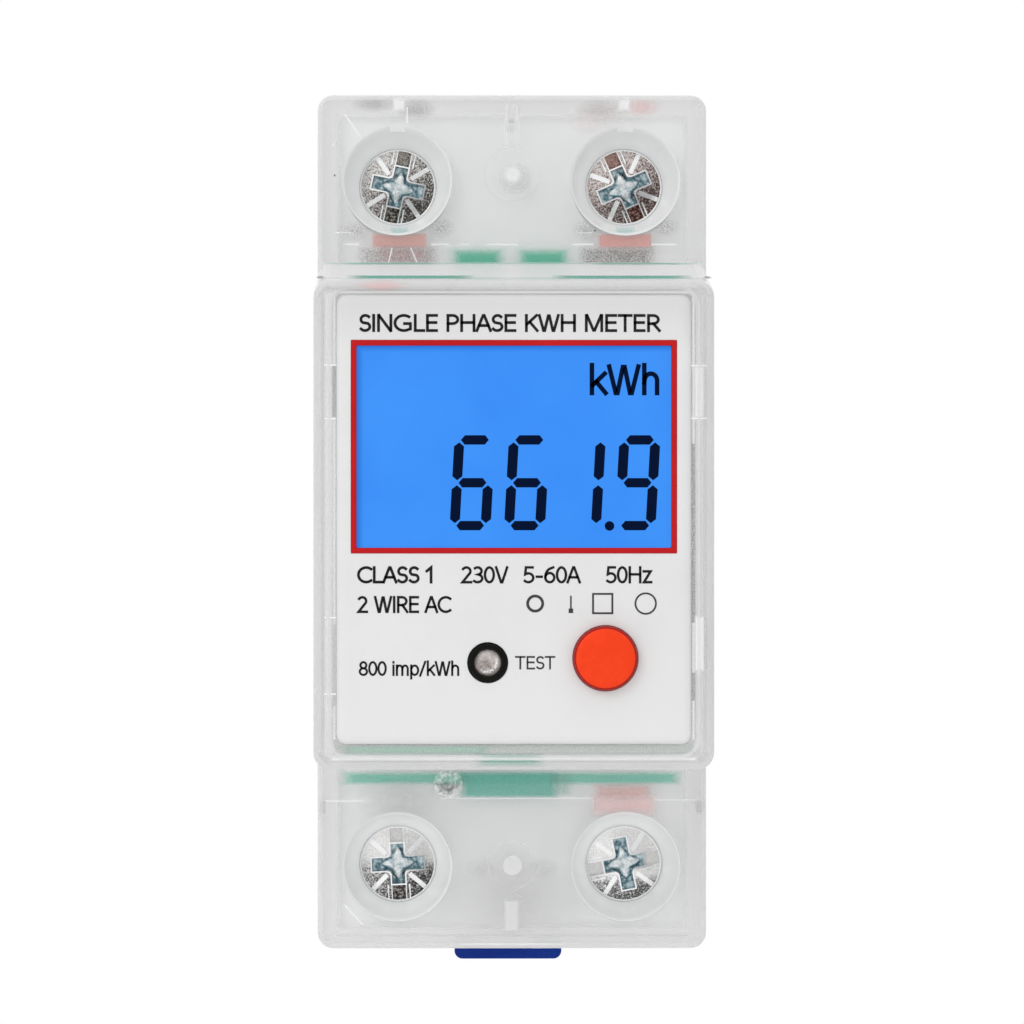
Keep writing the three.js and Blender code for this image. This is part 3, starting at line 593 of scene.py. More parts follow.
def lamp_material():
    """A clear lens over a mottled reflector, with a painted highlight, a bright crescent, at its lower right.
    """
    s = Shader("lamp_lens")
    crinkle = s.noise(0.9, 4, 0.65)
    mottled = s.mix(s.ranged(crinkle, 0.36, 0.6), srgb(138, 128, 126), srgb(205, 198, 194))
    dx = s.math("SUBTRACT", s.axis(0), LAMP["x"] - 0.12)
    dz = s.math("SUBTRACT", s.axis(2), LAMP["z"] + 0.12)
    distance = s.far(dx, dz)
    towards = s.ranged(s.math("SUBTRACT", dx, s.math("MULTIPLY", dz, 1.3)), 0.2, 0.9)
    ring = s.math("MULTIPLY", s.ranged(distance, 0.78, 0.88), s.ranged(distance, 1.12, 1.0))
    broken = s.ranged(s.noise(0.15), 0.4, 0.5)
    painted_glint = s.math("MULTIPLY", s.math("MULTIPLY", ring, towards), broken)
    s.set("Base Color", s.mix(painted_glint, mottled, (0.95, 0.95, 0.94)))
    s.set("Roughness", s.ranged(crinkle, 0.3, 0.7, 0.15, 0.3))
    s.set("Specular IOR Level", 0.3)
    s.bump(crinkle, 0.3, 0.06)
    return s.material


def seal_material():
    s = Shader("seal_clear")
    sparkle = s.noise(0.4, 4, 0.7)
    s.set("Base Color", s.mix(s.ranged(sparkle, 0.4, 0.6), (0.78, 0.84, 0.82), (0.96, 0.97, 0.97)))
    s.set("Roughness", s.ranged(sparkle, 0.3, 0.7, 0.1, 0.3))
    s.set("Alpha", s.ranged(sparkle, 0.38, 0.62, 0.08, 0.6))
    # a faint painted glow keeps the clear head bright
    s.glow((1.0, 1.0, 1.0), 0.08)
    s.bump(sparkle, 0.8, 0.08)
    return s.material


def tint_material():
    """Colour and cover come from the mesh; grain breaks them into speckle; a faint painted glow keeps them
    bright.
    """
    s = Shader("case_tint")
    tint = s.node("ShaderNodeAttribute", attribute_name="tint").outputs["Color"]
    veil = s.node("ShaderNodeAttribute", attribute_name="veil").outputs["Color"]
    parts = s.node("ShaderNodeSeparateColor")
    s.feed(parts.inputs[0], veil)
    speck = s.ranged(s.noise(0.12, 2, 0.7), 0.42, 0.58)
    kept = s.math("SUBTRACT", 1, s.math("MULTIPLY", parts.outputs[1], s.math("SUBTRACT", 1, speck)))
    s.set("Base Color", tint)
    s.glow(tint, 0.08)
    s.set("Alpha", s.math("MULTIPLY", parts.outputs[0], kept))
    s.roughness(0.5, 0.7, 0.5)
    s.set("Specular IOR Level", 0.1)
    return s.material


CASE_WELL = well_material()
LABEL_WHITE = label_material()
BOARD = board_material()
LCD_BLUE = lcd_material()
SEGMENT = segment_material()
BUTTON_RED = button_material()
LENS = lamp_material()
SEAL_CLEAR = seal_material()
TINT = tint_material()


# ---------------------------------------------------------------- front cover
def nose_z(y):
    """How far down and up the nose reaches at a depth."""
    share = (SHOULDER_Y - y) / (SHOULDER_Y - NOSE_Y)
    return [shoulder + (front - shoulder) * share for shoulder, front in (NOSE_BOTTOM, NOSE_TOP)]


def nose_block(y0, y1, inset, corner, edge):
    """The nose, or its hollow when inset by the wall; its top slopes and its front edge is round."""
    rings = []
    for y, step in edge_levels(y0, y1, edge, 0):
        bottom, top = nose_z(y)
        side = HALF_WIDTH - NOSE_SHY - inset - step
        rings.append(
            rounded_ring(-side, side, bottom + inset + step, top - inset - step, corner - step * 0.5, y))
    return loft(rings)


def well_bore(x, z, lift):
    """The funnel that leads down to a terminal screw; its round mouth sits a little off the bore."""
    rings = []
    for r, y in WELL_PROFILE:
        share = max(0, min(1, (-35.4 - y) / 4.6))
        rings.append([(px, y, pz) for px, pz in circle(x, z + lift * share, r, TURNED_STEPS)])
    return loft(rings)


def hollow(cover):
    """Leaves the walls of the shoulders and of the nose, milky on their inner faces."""
    half, top = INNER_HALF, INNER_TOP
    cut(cover, block(-half, half, SHOULDER_INNER_Y, -22, -top, top, 0.8, 0.4), material=CASE_VEIL)
    cut(cover, nose_block(TRAY_INNER_Y, SHOULDER_INNER_Y + 1, WALL, 0.9, 0.3), material=CASE_VEIL)


def add_wells(cover):
    """A sleeve with a funnel down to each screw, and a rib at each end."""
    sleeve = [(0, -38.9), (4.95, -38.9), (4.95, -32.9), (4.85, -32.8), (0, -32.8)]
    fuse(
        cover,
        *[lathe(sleeve, x, z) for x, z, _ in TERMINALS.values()],
        *[block(-0.6, 0.6, -38.5, -24, *span(side, 36.2, 38), 0.1, 0) for side in (1, -1)],
        material=CASE_VEIL)
    cut(
        cover,
        *[well_bore(x, z, WELL_LIFT if side > 0 else 0) for x, z, side in TERMINALS.values()],
        material=CASE_WELL)


def mark_shoulders(cover):
    """Round pips in the middle of each shoulder, the seat of the sealing screw, and key grooves."""
    pip = [
        (1.0, CUTTER_Y), (2.5, CUTTER_Y), (2.5, -40.01), (2.3, -39.93), (2.0, -39.7), (1.7, -39.62),
        (1.3, -39.66), (1.05, -39.8), (0.85, -39.95), (0.5, -39.99), (0.5, CUTTER_Y)]
    seat = [
        (0, CUTTER_Y), (1.55, CUTTER_Y), (1.55, -40.02), (1.46, -39.95), (1.46, -38.9), (1.1, -38.9),
        (1.1, -38), (0, -38)]
    pips = [lathe(pip, 0, z, closed=True) for z in (32.1, -31.8)]
    cut(cover, lathe(seat, SEAL["x"], SEAL["z"]), *pips, material=CASE_DIMPLE)
    grooves = [
        block(x - 0.7, x + 0.7, CUTTER_Y, -39.1, z + HEAD["half_z"], 41, 0.2)
        for x, z, side in TERMINALS.values() if side > 0]
    cut(cover, *grooves, material=CASE_DIMPLE)


def add_tray(cover):
    """The recess that the label lies in, with openings for its hooks, display, button and lamp."""
    levels = (
        (16.75, 0.45, -59), (16.75, 0.45, -58.55), (16.5, 0.2, -58.4),
        (16.35, 0.05, -58.15), (16.3, 0, -57.9), (TRAY["half"], 0, TRAY["y"]))
    recess = loft([
        rounded_ring(-half, half, TRAY["z0"] - grow, TRAY["z1"] + grow, TRAY["corner"] + grow, y)
        for half, grow, y in levels])
    cut(cover, recess, material=CASE_EDGE)
    across, up = BEZEL["half_x"] + 0.1, BEZEL["half_z"] + 0.1
    cut(
        cover,
        block(-across, across, *TRAY_CUT, BEZEL["z"] - up, BEZEL["z"] + up, 0.1),
        peg(BUTTON["x"], BUTTON["z"], 3.1, *TRAY_CUT),
        peg(LAMP["x"], LAMP["z"], 1.9, *TRAY_CUT, 40),
        material=CASE_VEIL)
    slots = [
        block(*span(hand, 14.9, 15.9), *TRAY_CUT, z0 - 0.3, z1 + 0.3)
        for hand in (-1, 1) for z0, z1 in HOOK_RANGES]
    cut(cover, *slots, material=CASE_VEIL)


def add_blades(cover):
    """Openings at the ends, and the barbed blades that snap into the rear housing."""
    ends = [
        block(x - 2.95, x + 2.95, -37, -22, *span(side, 38.5, 41), 0.3) for x, _, side in TERMINALS.values()]
    cut(cover, *ends, material=CASE_CLEAR)
    corners = [(hand, *span(side, *BLADE_Z)) for hand in (-1, 1) for side in (-1, 1)]
    roots = [block(*span(hand, 15.3, 16.45), -30, -23.2, z0, z1, 0.1) for hand, z0, z1 in corners]
    fuse(cover, *roots, material=CASE_VEIL)
    blades = [block(*span(hand, 15.3, 16.1), -23.3, -17.1, z0, z1, 0.1, 0, 0.1) for hand, z0, z1 in corners]
    fuse(cover, *blades, material=CASE_EDGE)
    barb = [(15.7, -20.3), (16.1, -20.3), (17.3, -19.9), (17.3, -18.6), (16.1, -17.7), (15.7, -17.7)]
    barbs = [loft([[(hand * x, y, z) for x, y in barb] for z in (z0, z1)]) for hand, z0, z1 in corners]
    fuse(cover, *barbs, material=CASE_EDGE)


def whiten_edges(cover):
    """Rounded edges of the skin scatter more light than its flats, so they take the edge material."""
    names = [material.name for material in cover.data.materials]
    skin, edge = names.index(CASE_CLEAR.name), names.index(CASE_EDGE.name)
    for polygon in cover.data.polygons:
        x, y, z = polygon.center / MM
        on_rim = abs(x) > 16.8 or abs(z) > 38.4 or y < -57
        if polygon.material_index == skin and on_rim and max(abs(v) for v in polygon.normal) < 0.985:
            polygon.material_index = edge


def front_cover():
    cover = make(
        "front_cover",
        block(-HALF_WIDTH, HALF_WIDTH, SHOULDER_Y, COVER_BACK_Y, -BODY_HALF, BODY_HALF, 1.5, 0.5, 0.1))
    cover.data.materials.append(CASE_CLEAR)
    fuse(cover, nose_block(NOSE_Y, SHOULDER_Y + 1, 0, 1.6, 0.7), material=CASE_CLEAR)
    hollow(cover)
    add_wells(cover)
    mark_shoulders(cover)
    add_tray(cover)
    add_blades(cover)
    whiten_edges(cover)
    finish_piece(cover, replaces=("front_cover",))


front_cover()


# ---------------------------------------------------------------- tints inside the frosted walls: parts seen through, painted shadows and painted highlights
TINT_GAIN = 1.05  # makes up for the light that the wall in front of a tint takes
TINT_STEP = 0.001  # how far each patch lies in front of the one before
# white of the painted highlights, thin lines of light along ledges, ribs and edges
HIGHLIGHT = (246, 246, 247)
GREEN = (62, 180, 148)
SALMON = (210, 158, 151)


class Tints:
    """Soft-edged patches of colour that lie within the case walls, gathered in one mesh: parts seen through,
    painted shadows and painted highlights.
    """

    def __init__(self, y):
        self.y = y
        self.lift = 0
        self.verts, self.faces, self.tint, self.veil = [], [], [], []

    def add(self, rings, colour, strength, grain, capped=True):
        """Rings of (x, z, share) points from the rim inwards, the last one capped or left open."""
        start = len(self.verts)
        count = len(rings[0])
        self.lift += TINT_STEP
        tone = (*(min(1, v * TINT_GAIN) for v in srgb(*colour)), 1)
        for ring in rings:
            for x, z, share in ring:
                y = self.y(z) if callable(self.y) else self.y
                self.verts.append((x * MM, (y - self.lift) * MM, z * MM))
                self.tint.append(tone)
                self.veil.append((share * strength, grain, 0, 1))
        for i in range(len(rings) - 1):
            for j in range(count):
                k = (j + 1) % count
                a, b = start + i * count, start + (i + 1) * count
                self.faces.append((a + j, a + k, b + k, b + j))
        if capped:
            self.faces.append(tuple(range(start + (len(rings) - 1) * count, start + len(rings) * count)))

    def band(self, x0, x1, z0, z1, colour, strength=0.8, soft=0.3, grain=0.0, soft_z=None):
        soft_z = soft if soft_z is None else soft_z
        rings = []
        for share, grow in ((0, 0.5), (0.5, 0), (1, -0.5)):
            gx, gz = soft * grow, soft_z * grow
            corners = ((x0 - gx, z0 - gz), (x1 + gx, z0 - gz), (x1 + gx, z1 + gz), (x0 - gx, z1 + gz))
            rings.append([(x, z, share) for x, z in corners])
        self.add(rings, colour, strength, grain)

    def line(self, xa, za, xb, zb, width, colour, strength=0.9):
        length = math.dist((xa, za), (xb, zb))
        ux, uz = (xb - xa) / length, (zb - za) / length
        rings = []
        for share, grow in ((0, 1.0), (1, 0.4)):
            w = width * grow / 2
            corners = ((-w, -w), (length + w, -w), (length + w, w), (-w, w))
            rings.append([(xa + ux * a - uz * b, za + uz * a + ux * b, share) for a, b in corners])
        self.add(rings, colour, strength, 0)

    def frame(self, bottom, top, edge, corner, width, colour, strength, fade):
        """A band of even width that follows the case's outline, just within it, and fades inwards."""
        rings = []
        for inset, share in ((0, 1), (width - fade, 1), (width, 0)):
            keep = edge + inset
            ring = rounded_ring(
                keep - HALF_WIDTH, HALF_WIDTH - keep, bottom + keep, top - keep, max(corner - inset, 0.3), 0)
            rings.append([(x, z, share) for x, _, z in ring])
        self.add(rings, colour, strength, 0, capped=False)

    def blob(self, cx, cz, rx, rz, colour, strength=0.8, core=0.4, grain=0.0):
        """An oval that fades from its core outwards."""
        rings = [
            [(x, z, share) for x, z in bow(cx, cz, rx * grow, rz * grow, 0, 345, 23)]
            for share, grow in ((0, 1), (1, core))]
        self.add(rings, colour, strength, grain)

    def arc(self, cx, cz, r, width, start, end, colour, strength):
        """A crescent about (cx, cz) between two angles, counted from +X towards +Z."""
        steps = 24
        outer, middle, inner = [], [], []
        for i in range(steps + 1):
            angle = math.radians(start + (end - start) * i / steps)
            swell = math.sin(math.pi * i / steps) ** 0.5
            half = width * swell / 2 + 0.02
            edges = ((outer, r + half, 0), (middle, r + 0.01, swell), (inner, r - half, 0))
            for points, radius, share in edges:
                points.append((cx + radius * math.cos(angle), cz + radius * math.sin(angle), share))
        self.add([outer + inner[::-1], middle + middle[::-1]], colour, strength, 0, capped=False)

    def build(self, name):
        mesh = bpy.data.meshes.new(name)
        mesh.from_pydata(self.verts, [], self.faces)
        for layer, values in (("tint", self.tint), ("veil", self.veil)):
            attribute = mesh.color_attributes.new(layer, "FLOAT_COLOR", "POINT")
            for i, value in enumerate(values):
                attribute.data[i].color = value
        mesh.materials.append(TINT)
        obj = placed(name, mesh)
        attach(obj, BODY)


def end_tints(t):
    """Painted shadows and light by the key grooves at the upper end, and painted highlights along the ribs in
    the corners.
    """
    t.blob(-12.8, 38.65, 2.2, 0.75, (186, 184, 184), 0.65, 0.1, 0.3)
    t.blob(-8.9, 38.1, 2.0, 1.2, (178, 176, 176), 0.65, 0.1, 0.5)
    t.blob(8.2, 38.0, 2.6, 1.35, (196, 186, 186), 0.6, 0.1, 0.5)
    t.blob(12.0, 38.4, 1.9, 1.0, (232, 194, 193), 0.6, 0.1, 0.3)
    t.blob(7.0, 37.0, 2.0, 1.2, (233, 216, 215), 0.35, 0.1, 0.3)
    for x in (-10.45, 10.35):
        t.band(x - 0.55, x + 0.55, 38.0, 39.1, (240, 240, 240), 0.85, 0.35, 0.0, 0.6)
    t.line(-9.7, 36.9, -9.7, 38.3, 0.2, HIGHLIGHT)
    t.line(-15.45, 37.7, -14.0, 35.6, 0.16, HIGHLIGHT)
    t.line(-15.45, -35.5, -13.8, -37.3, 0.16, HIGHLIGHT)
    t.blob(-16.5, 34.9, 0.25, 0.4, (236, 236, 236), 0.6)
    t.blob(-16.4, 32.05, 0.12, 0.12, (110, 110, 110), 1)


def bar_tints(t):
    """The ends of the bars under the upper screws, with the speckle round them and painted highlights along
    the ledges and beside the bars.
    """
    for x0, x1, tone in ((-12.85, -8.0, SALMON), (8.1, 12.85, (216, 154, 147))):
        t.band(x0, x1, 25.45, 26.6, tone, 0.95, 0.25, 0.12)
        middle = (x0 + x1) / 2
        t.band(middle - 0.75, middle + 0.75, 26.65, 27.2, (166, 196, 192), 0.8, 0.35, 0.2)
    t.band(-13.9, -7.2, 23.9, 25.25, (158, 150, 150), 0.85, 1.0, 0.85, 0.5)
    t.band(-12.0, -8.2, 24.2, 25.2, (186, 140, 138), 0.6, 0.9, 0.7)
    t.band(6.6, 12.8, 23.9, 25.25, (116, 112, 110), 0.85, 1.2, 0.85, 0.5)
    t.line(-11.1, 25.3, -11.45, 23.9, 0.2, HIGHLIGHT)
    t.line(-9.35, 25.3, -8.75, 23.9, 0.2, HIGHLIGHT)
    for x, z in ((-14.6, 26.9), (-6.6, 27.2), (6.9, 27.0), (14.2, 27.3)):
        t.blob(x, z, 1.5, 1.0, (156, 154, 154), 0.6, 0.15, 0.9)
    t.blob(7.7, 26.95, 0.13, 0.13, (90, 90, 90), 1)
    for x0, x1 in ((-15.4, -14.2), (-7.4, -5.9), (-4.8, -3.9), (-2.3, 0.5), (5.6, 7.5), (13.0, 15.1)):
        t.line(x0, 25.67, x1, 25.67, 0.2, HIGHLIGHT)
    t.line(-16.6, 26.75, -14.9, 26.75, 0.14, HIGHLIGHT)
    t.line(6.0, 26.75, 7.4, 26.75, 0.14, HIGHLIGHT, 0.7)


def board_tints(t):
    """The board's tabs above the nose, and below it the board's edge, the third bar and painted highlights
    along the ledges.
    """
    for x0, x1 in ((-5.15, -1.25), (0.95, 4.85)):
        t.band(x0 - 0.2, x1 + 0.2, 22.4, 25.05, (92, 190, 162), 0.6, 1.3, 0.2, 0.9)
        t.band(x0 + 0.15, x1 - 0.15, 22.4, 24.95, GREEN, 0.85, 0.9, 0.15, 0.6)
    t.band(-15.3, 15.2, -24.2, -23.3, (92, 180, 157), 0.95, 1.2, 0.25, 0.4)
    t.band(-4.5, 4.0, -25.45, -23.3, (84, 174, 156), 0.95, 0.9, 0.25, 0.4)
    t.band(3.8, 5.3, -25.2, -23.5, (120, 178, 163), 0.6, 0.9, 0.5, 0.5)
    t.line(-6.8, -25.6, 9.9, -25.6, 0.16, HIGHLIGHT, 0.8)
    t.line(-17.2, -25.85, -13.2, -25.85, 0.18, HIGHLIGHT)
    t.line(13.2, -25.75, 17.0, -25.75, 0.16, HIGHLIGHT, 0.7)
    t.band(7.9, 12.6, -25.5, -24.5, (212, 164, 160), 0.7, 0.9, 0.25, 0.5)
    t.band(7.7, 13.0, -26.9, -25.6, (234, 198, 197), 0.85, 0.9, 0.15)


def foot_tints(t):
    """Painted shade, notches, ribs and a painted highlight in the lower shoulder, and the rib of the upper
    one.
    """
    t.blob(-10.6, -25.8, 4.2, 2.0, (200, 200, 200), 0.5, 0.02)
    t.blob(0, -34.9, 8.5, 4.2, (196, 196, 196), 0.4, 0.02)
    t.band(-17.75, -17.35, -26.9, -25.9, (200, 200, 200), 0.7, 0.3)
    t.band(17.1, 17.7, -26.9, -25.9, (200, 200, 200), 0.7, 0.3)
    t.band(-0.68, 0.58, -37.9, -35.1, (230, 230, 230), 0.75, 0.3)
    t.line(-16.2, -38.3, 16.2, -38.3, 0.14, (208, 208, 208), 0.6)
    t.line(-4.6, -39.1, 4.6, -39.1, 0.25, HIGHLIGHT, 0.9)
    for x in (-2.9, 2.9):
        t.blob(x, -32.1, 1.5, 1.0, (196, 196, 196), 0.35, 0.1, 0.6)
    for start in (20, 140, 260):
        t.arc(0.05, -31.8, 2.2, 0.14, start, start + 110, (232, 232, 232), 0.6)
    for x in (-0.5, 0.45):
        t.band(x - 0.16, x + 0.16, 34.8, 38.6, (231, 231, 232), 0.55, 0.25)


def shoulder_tints():
    """What shows in the shoulder wall."""
    wall = Tints(SHOULDER_Y + 0.64)
    wall.frame(-BODY_HALF, BODY_HALF, 0.035, 1.47, 2.1, (219, 219, 219), 0.96, 0.5)
    wall.build("cover_wall_tints")
    t = Tints(SHOULDER_Y + 0.5)
    end_tints(t)
    bar_tints(t)
    board_tints(t)
    foot_tints(t)
    # crescents of light and shade on the wells' rims
    for x, z, side in TERMINALS.values():
        middle = z + (WELL_LIFT if side > 0 else 0)
        t.arc(x, middle, 5.05, 0.26, -50, 62, (236, 236, 237), 0.5)
        t.arc(x, middle, 5.02, 0.16, 130, 265, (204, 204, 206), 0.6)
        t.arc(x, middle, 5.1, 0.2, 215, 320, (206, 210, 212), 0.4)
    t.build("cover_shoulder_tints")
    # the upper pip's painted shadow, falling to its lower right, under pale spots on both pips
    pips = Tints(SHOULDER_Y - 0.008)
    pips.blob(0.3, 31.75, 1.55, 1.5, (204, 204, 205), 0.7, 0.45)
    pips.blob(0.05, 32.1, 1.1, 1.1, (240, 240, 240), 0.9, 0.45)
    pips.blob(0.05, -31.8, 1.02, 1.02, (226, 226, 226), 0.9, 0.8)
    pips.build("cover_pip_tints")


def slope_y(z):
    """Depth of the tints that lie just under the sloping top of the nose."""
    return NOSE_Y + (z - NOSE_TOP[1]) / (NOSE_TOP[0] - NOSE_TOP[1]) * (SHOULDER_Y - NOSE_Y) + 0.25


def slope_tints():
    """The board's edges, seen as teal lines through the top of the nose."""
    slope = Tints(slope_y)
    slope.band(-17.4, 17.4, 21.9, 23.9, (212, 212, 212), 0.85, 0.3)
    slope.build("cover_slope_tints")
    lines = Tints(lambda z: slope_y(z) - 0.1)
    for x0, x1 in ((-14.0, -4.6), (4.5, 15.0)):
        lines.band(x0, x1, 21.84, 22.2, (66, 152, 134), 0.97, 2.4, 0.1, 0.16)
    for x0, x1 in ((-14.8, -8.0), (8.2, 15.0)):
        lines.band(x0, x1, 23.7, 23.88, (96, 178, 158), 0.85, 1.6, 0.1, 0.1)
    lines.band(-17.0, 17.0, 23.72, 23.86, (150, 194, 184), 0.5, 1.0, 0.1, 0.1)
    # painted shadows in the nose's upper corners
    lines.blob(-17.4, 22.0, 0.42, 0.2, (132, 132, 132), 0.85)
    lines.blob(17.45, 22.0, 0.4, 0.2, (132, 132, 132), 0.85)
    lines.build("cover_slope_lines")


def groove_tints():
    """Painted shade and painted light in the groove round the label, and green where the board shows."""
    groove = Tints(LABEL["front"] + 0.25)
    groove.band(-16.1, 16.1, -20.75, -20.05, (182, 187, 183), 0.85, 0.3, 0.35, 0.25)
    groove.band(-14.8, -2.7, -20.7, -20.1, (166, 196, 183), 0.8, 1.5, 0.3, 0.3)
    groove.band(-16.2, -15.98, -19.5, 20.3, (222, 222, 222), 0.9, 0.08, 0.2)
    groove.band(15.98, 16.2, -19.5, 20.3, (222, 222, 222), 0.9, 0.08, 0.2)
    groove.band(-15.9, 15.9, 20.45, 20.75, (220, 220, 220), 0.85, 0.2)
    groove.band(-16.28, -15.92, 9.4, 14.0, (166, 166, 168), 0.85, 0.15, 0.7)
    groove.band(-16.28, -15.92, -16.5, -9.2, (196, 196, 197), 0.7, 0.15, 0.5)
    groove.band(15.92, 16.22, -9.0, 7.0, (138, 138, 139), 0.9, 0.12, 0.85)
    groove.band(15.92, 16.22, -16.0, -13.5, (150, 150, 151), 0.8, 0.12, 0.7)
    groove.build("cover_groove_tints")


def catch_tints():
    """The catches that hold the label, at both sides of the nose."""
    marks = Tints(NOSE_Y + 0.2)
    for z in (14.05, 9.25, -8.55, -15.4):
        marks.line(-16.9, z, -16.0, z, 0.2, (240, 240, 240), 0.85)
    for z in (14.0, 9.3):
        marks.line(15.95, z, 17.2, z, 0.2, (240, 240, 240), 0.85)
    marks.band(16.2, 17.0, 9.4, 13.9, (232, 232, 232), 0.8, 0.3)
    marks.band(16.25, 17.05, -13.3, -8.5, (238, 238, 238), 0.85, 0.3)
    marks.band(17.05, 17.25, -13.0, -8.7, (205, 205, 205), 0.8, 0.2, 0.3)
    marks.build("cover_catch_tints")


def nose_tints():
    """What shows in the walls of the nose."""
    walls = Tints(NOSE_Y + 0.8)
    walls.frame(NOSE_BOTTOM[1], NOSE_TOP[1], 0.04, 1.5, 1.15, (208, 208, 208), 0.97, 0.4)
    walls.band(-2.8, 2.1, -21.8, -20.85, (104, 178, 158), 0.95, 1.4, 0.3, 0.3)
    walls.build("cover_frame_tints")
    front = Tints(NOSE_Y + 0.25)
    front.blob(-11.9, 21.2, 2.5, 0.42, (230, 172, 170), 0.95, 0.4, 0.15)
    # painted highlights on the tray's flared inner walls, at both sides and along the foot
    for hand in (-1, 1):
        front.band(*span(hand, 16.9, 17.2), -20.5, 20.5, (222, 222, 222), 0.6, 0.4)
    front.band(-16.3, 16.3, -21.35, -21.1, (240, 240, 240), 0.85, 0.3, 0.0, 0.2)
    front.build("cover_front_tints")
    slope_tints()
    groove_tints()
    catch_tints()


shoulder_tints()
nose_tints()


# ---------------------------------------------------------------- label plate, printing and display
def label_plate():
    across, up = BEZEL["half_x"] + 0.02, BEZEL["half_z"] + 0.02
    half, ahead, behind = LABEL["half"], NOSE_Y - 1.5, TRAY["y"] + 0.1
    plate = make(
        "label_plate",
        block(-half, half, LABEL["front"], LABEL["back"], LABEL["z0"], LABEL["z1"],
              LABEL["corner"], 0.4, 0, 0.9, steps=8))
    button_hole = [
        (0, ahead), (2.98, ahead), (2.98, LABEL["front"]), (2.93, -58.12), (2.93, behind), (0, behind)]
    lamp_hole = [
        (0, ahead), (1.86, ahead), (1.86, LABEL["front"]), (1.83, -58.15), (1.83, behind), (0, behind)]
    cut(
        plate,
        block(-across, across, ahead, behind, BEZEL["z"] - up, BEZEL["z"] + up, 0.1),
        lathe(button_hole, BUTTON["x"], BUTTON["z"], TURNED_STEPS),
        lathe(lamp_hole, LAMP["x"], LAMP["z"], 72))
    hooks = [(hand, z0, z1) for hand in (-1, 1) for z0, z1 in HOOK_RANGES]
    fuse(plate, *[block(*span(hand, 15.2, half), -57.5, -55.15, z0, z1, 0.1) for hand, z0, z1 in hooks])
    reach = LABEL_HIGH[0]
    fuse(plate, *[block(*span(hand, 15.2, reach), -55.2, -54.6, z0, z1, 0.1, 0.2) for hand, z0, z1 in hooks])
    finish_piece(plate, replaces=("label_plate",), materials=(LABEL_WHITE,), angle=40)


P_BOWL = [(0, 0), (0, 1), (0.22, 1), *bow(0.24, 0.73, 0.27, 0.27, 80, -80), (0.22, 0.46), (0, 0.46)]
GLYPHS = {  # strokes of plain letters; capitals are 1 tall
    "A": [[(0, 0), (0.32, 1), (0.38, 1), (0.7, 0)], [(0.12, 0.33), (0.58, 0.33)]],
    "C": [bow(0.44, 0.5, 0.44, 0.5, 52, 308, 20)],
    "E": [[(0.47, 1), (0, 1), (0, 0), (0.47, 0)], [(0, 0.53), (0.44, 0.53)]],
    "G": [[*bow(0.46, 0.5, 0.46, 0.5, 55, 300, 20), (0.8, 0.1), (0.8, 0.46), (0.5, 0.46)]],
    "H": [[(0, 0), (0, 1)], [(0.64, 0), (0.64, 1)], [(0, 0.53), (0.64, 0.53)]],
    "I": [[(0, 0), (0, 1)]],
    "K": [[(0, 0), (0, 1)], [(0.52, 1), (0.03, 0.42)], [(0.17, 0.58), (0.56, 0)]],
    "L": [[(0, 1), (0, 0), (0.44, 0)]],
    "M": [[(0, 0), (0, 1)], [(0.04, 1), (0.37, 0.02), (0.43, 0.02), (0.76, 1)], [(0.8, 1), (0.8, 0)]],
    "N": [[(0, 0), (0, 1)], [(0.03, 1), (0.61, 0)], [(0.64, 0), (0.64, 1)]],
    "P": [P_BOWL],
    "R": [P_BOWL, [(0.26, 0.46), (0.56, 0)]],
    "S": [[*bow(0.27, 0.74, 0.23, 0.26, 40, 235, 14), *bow(0.25, 0.26, 0.25, 0.26, 55, -145, 14)]],
    "T": [[(0, 1), (0.62, 1)], [(0.31, 0), (0.31, 1)]],
    "V": [[(0, 1), (0.29, 0), (0.36, 0), (0.65, 1)]],
    "W": [[(0, 1), (0.22, 0), (0.28, 0), (0.46, 0.98), (0.52, 0.98), (0.7, 0), (0.76, 0), (0.98, 1)]],
    "0": [bow(0.26, 0.5, 0.26, 0.5, 0, 360, 24)],
    "1": [[(0, 0.76), (0.24, 1), (0.24, 0)]],
    "2": [[*bow(0.25, 0.74, 0.24, 0.26, 145, -25), (0.02, 0), (0.53, 0)]],
    "3": [[*bow(0.22, 0.76, 0.24, 0.24, 130, -90), *bow(0.22, 0.26, 0.28, 0.26, 90, -135)]],
    "5": [[(0.46, 1), (0.07, 1), (0.03, 0.53), *bow(0.21, 0.3, 0.29, 0.3, 100, -135)]],
    "6": [bow(0.27, 0.31, 0.26, 0.31, 0, 360, 20), [(0.47, 1), *bow(0.43, 0.34, 0.42, 0.62, 115, 180, 8)]],
    "8": [bow(0.26, 0.76, 0.21, 0.24, 0, 360, 20), bow(0.26, 0.26, 0.26, 0.26, 0, 360, 20)],
    "-": [[(0, 0.37), (0.28, 0.37)]],
    "/": [[(0, -0.06), (0.36, 1.02)]],
    "h": [[(0, 0), (0, 1.05)], [(0, 0.4), *bow(0.22, 0.47, 0.21, 0.26, 165, 0), (0.43, 0)]],
    "i": [[(0, 0), (0, 0.73)], [(0, 0.97), (0, 1.0)]],
    "k": [[(0, 0), (0, 1.05)], [(0.43, 0.73), (0.03, 0.3)], [(0.15, 0.42), (0.46, 0)]],
    "m": [[(0, 0), (0, 0.73)], [(0, 0.4), *bow(0.2, 0.48, 0.19, 0.25, 165, 0), (0.39, 0)],
          [(0.39, 0.4), *bow(0.59, 0.48, 0.19, 0.25, 165, 0), (0.78, 0)]],
    "p": [[(0, -0.28), (0, 0.73)], bow(0.25, 0.365, 0.25, 0.365, 0, 360, 20)],
    "z": [[(0, 0.73), (0.42, 0.73), (0.01, 0), (0.45, 0)]],
}
LETTER_GAP = 0.25
WORD_GAP = 0.36
SHARPEST = 0.35  # keeps the mitre of a sharp corner short
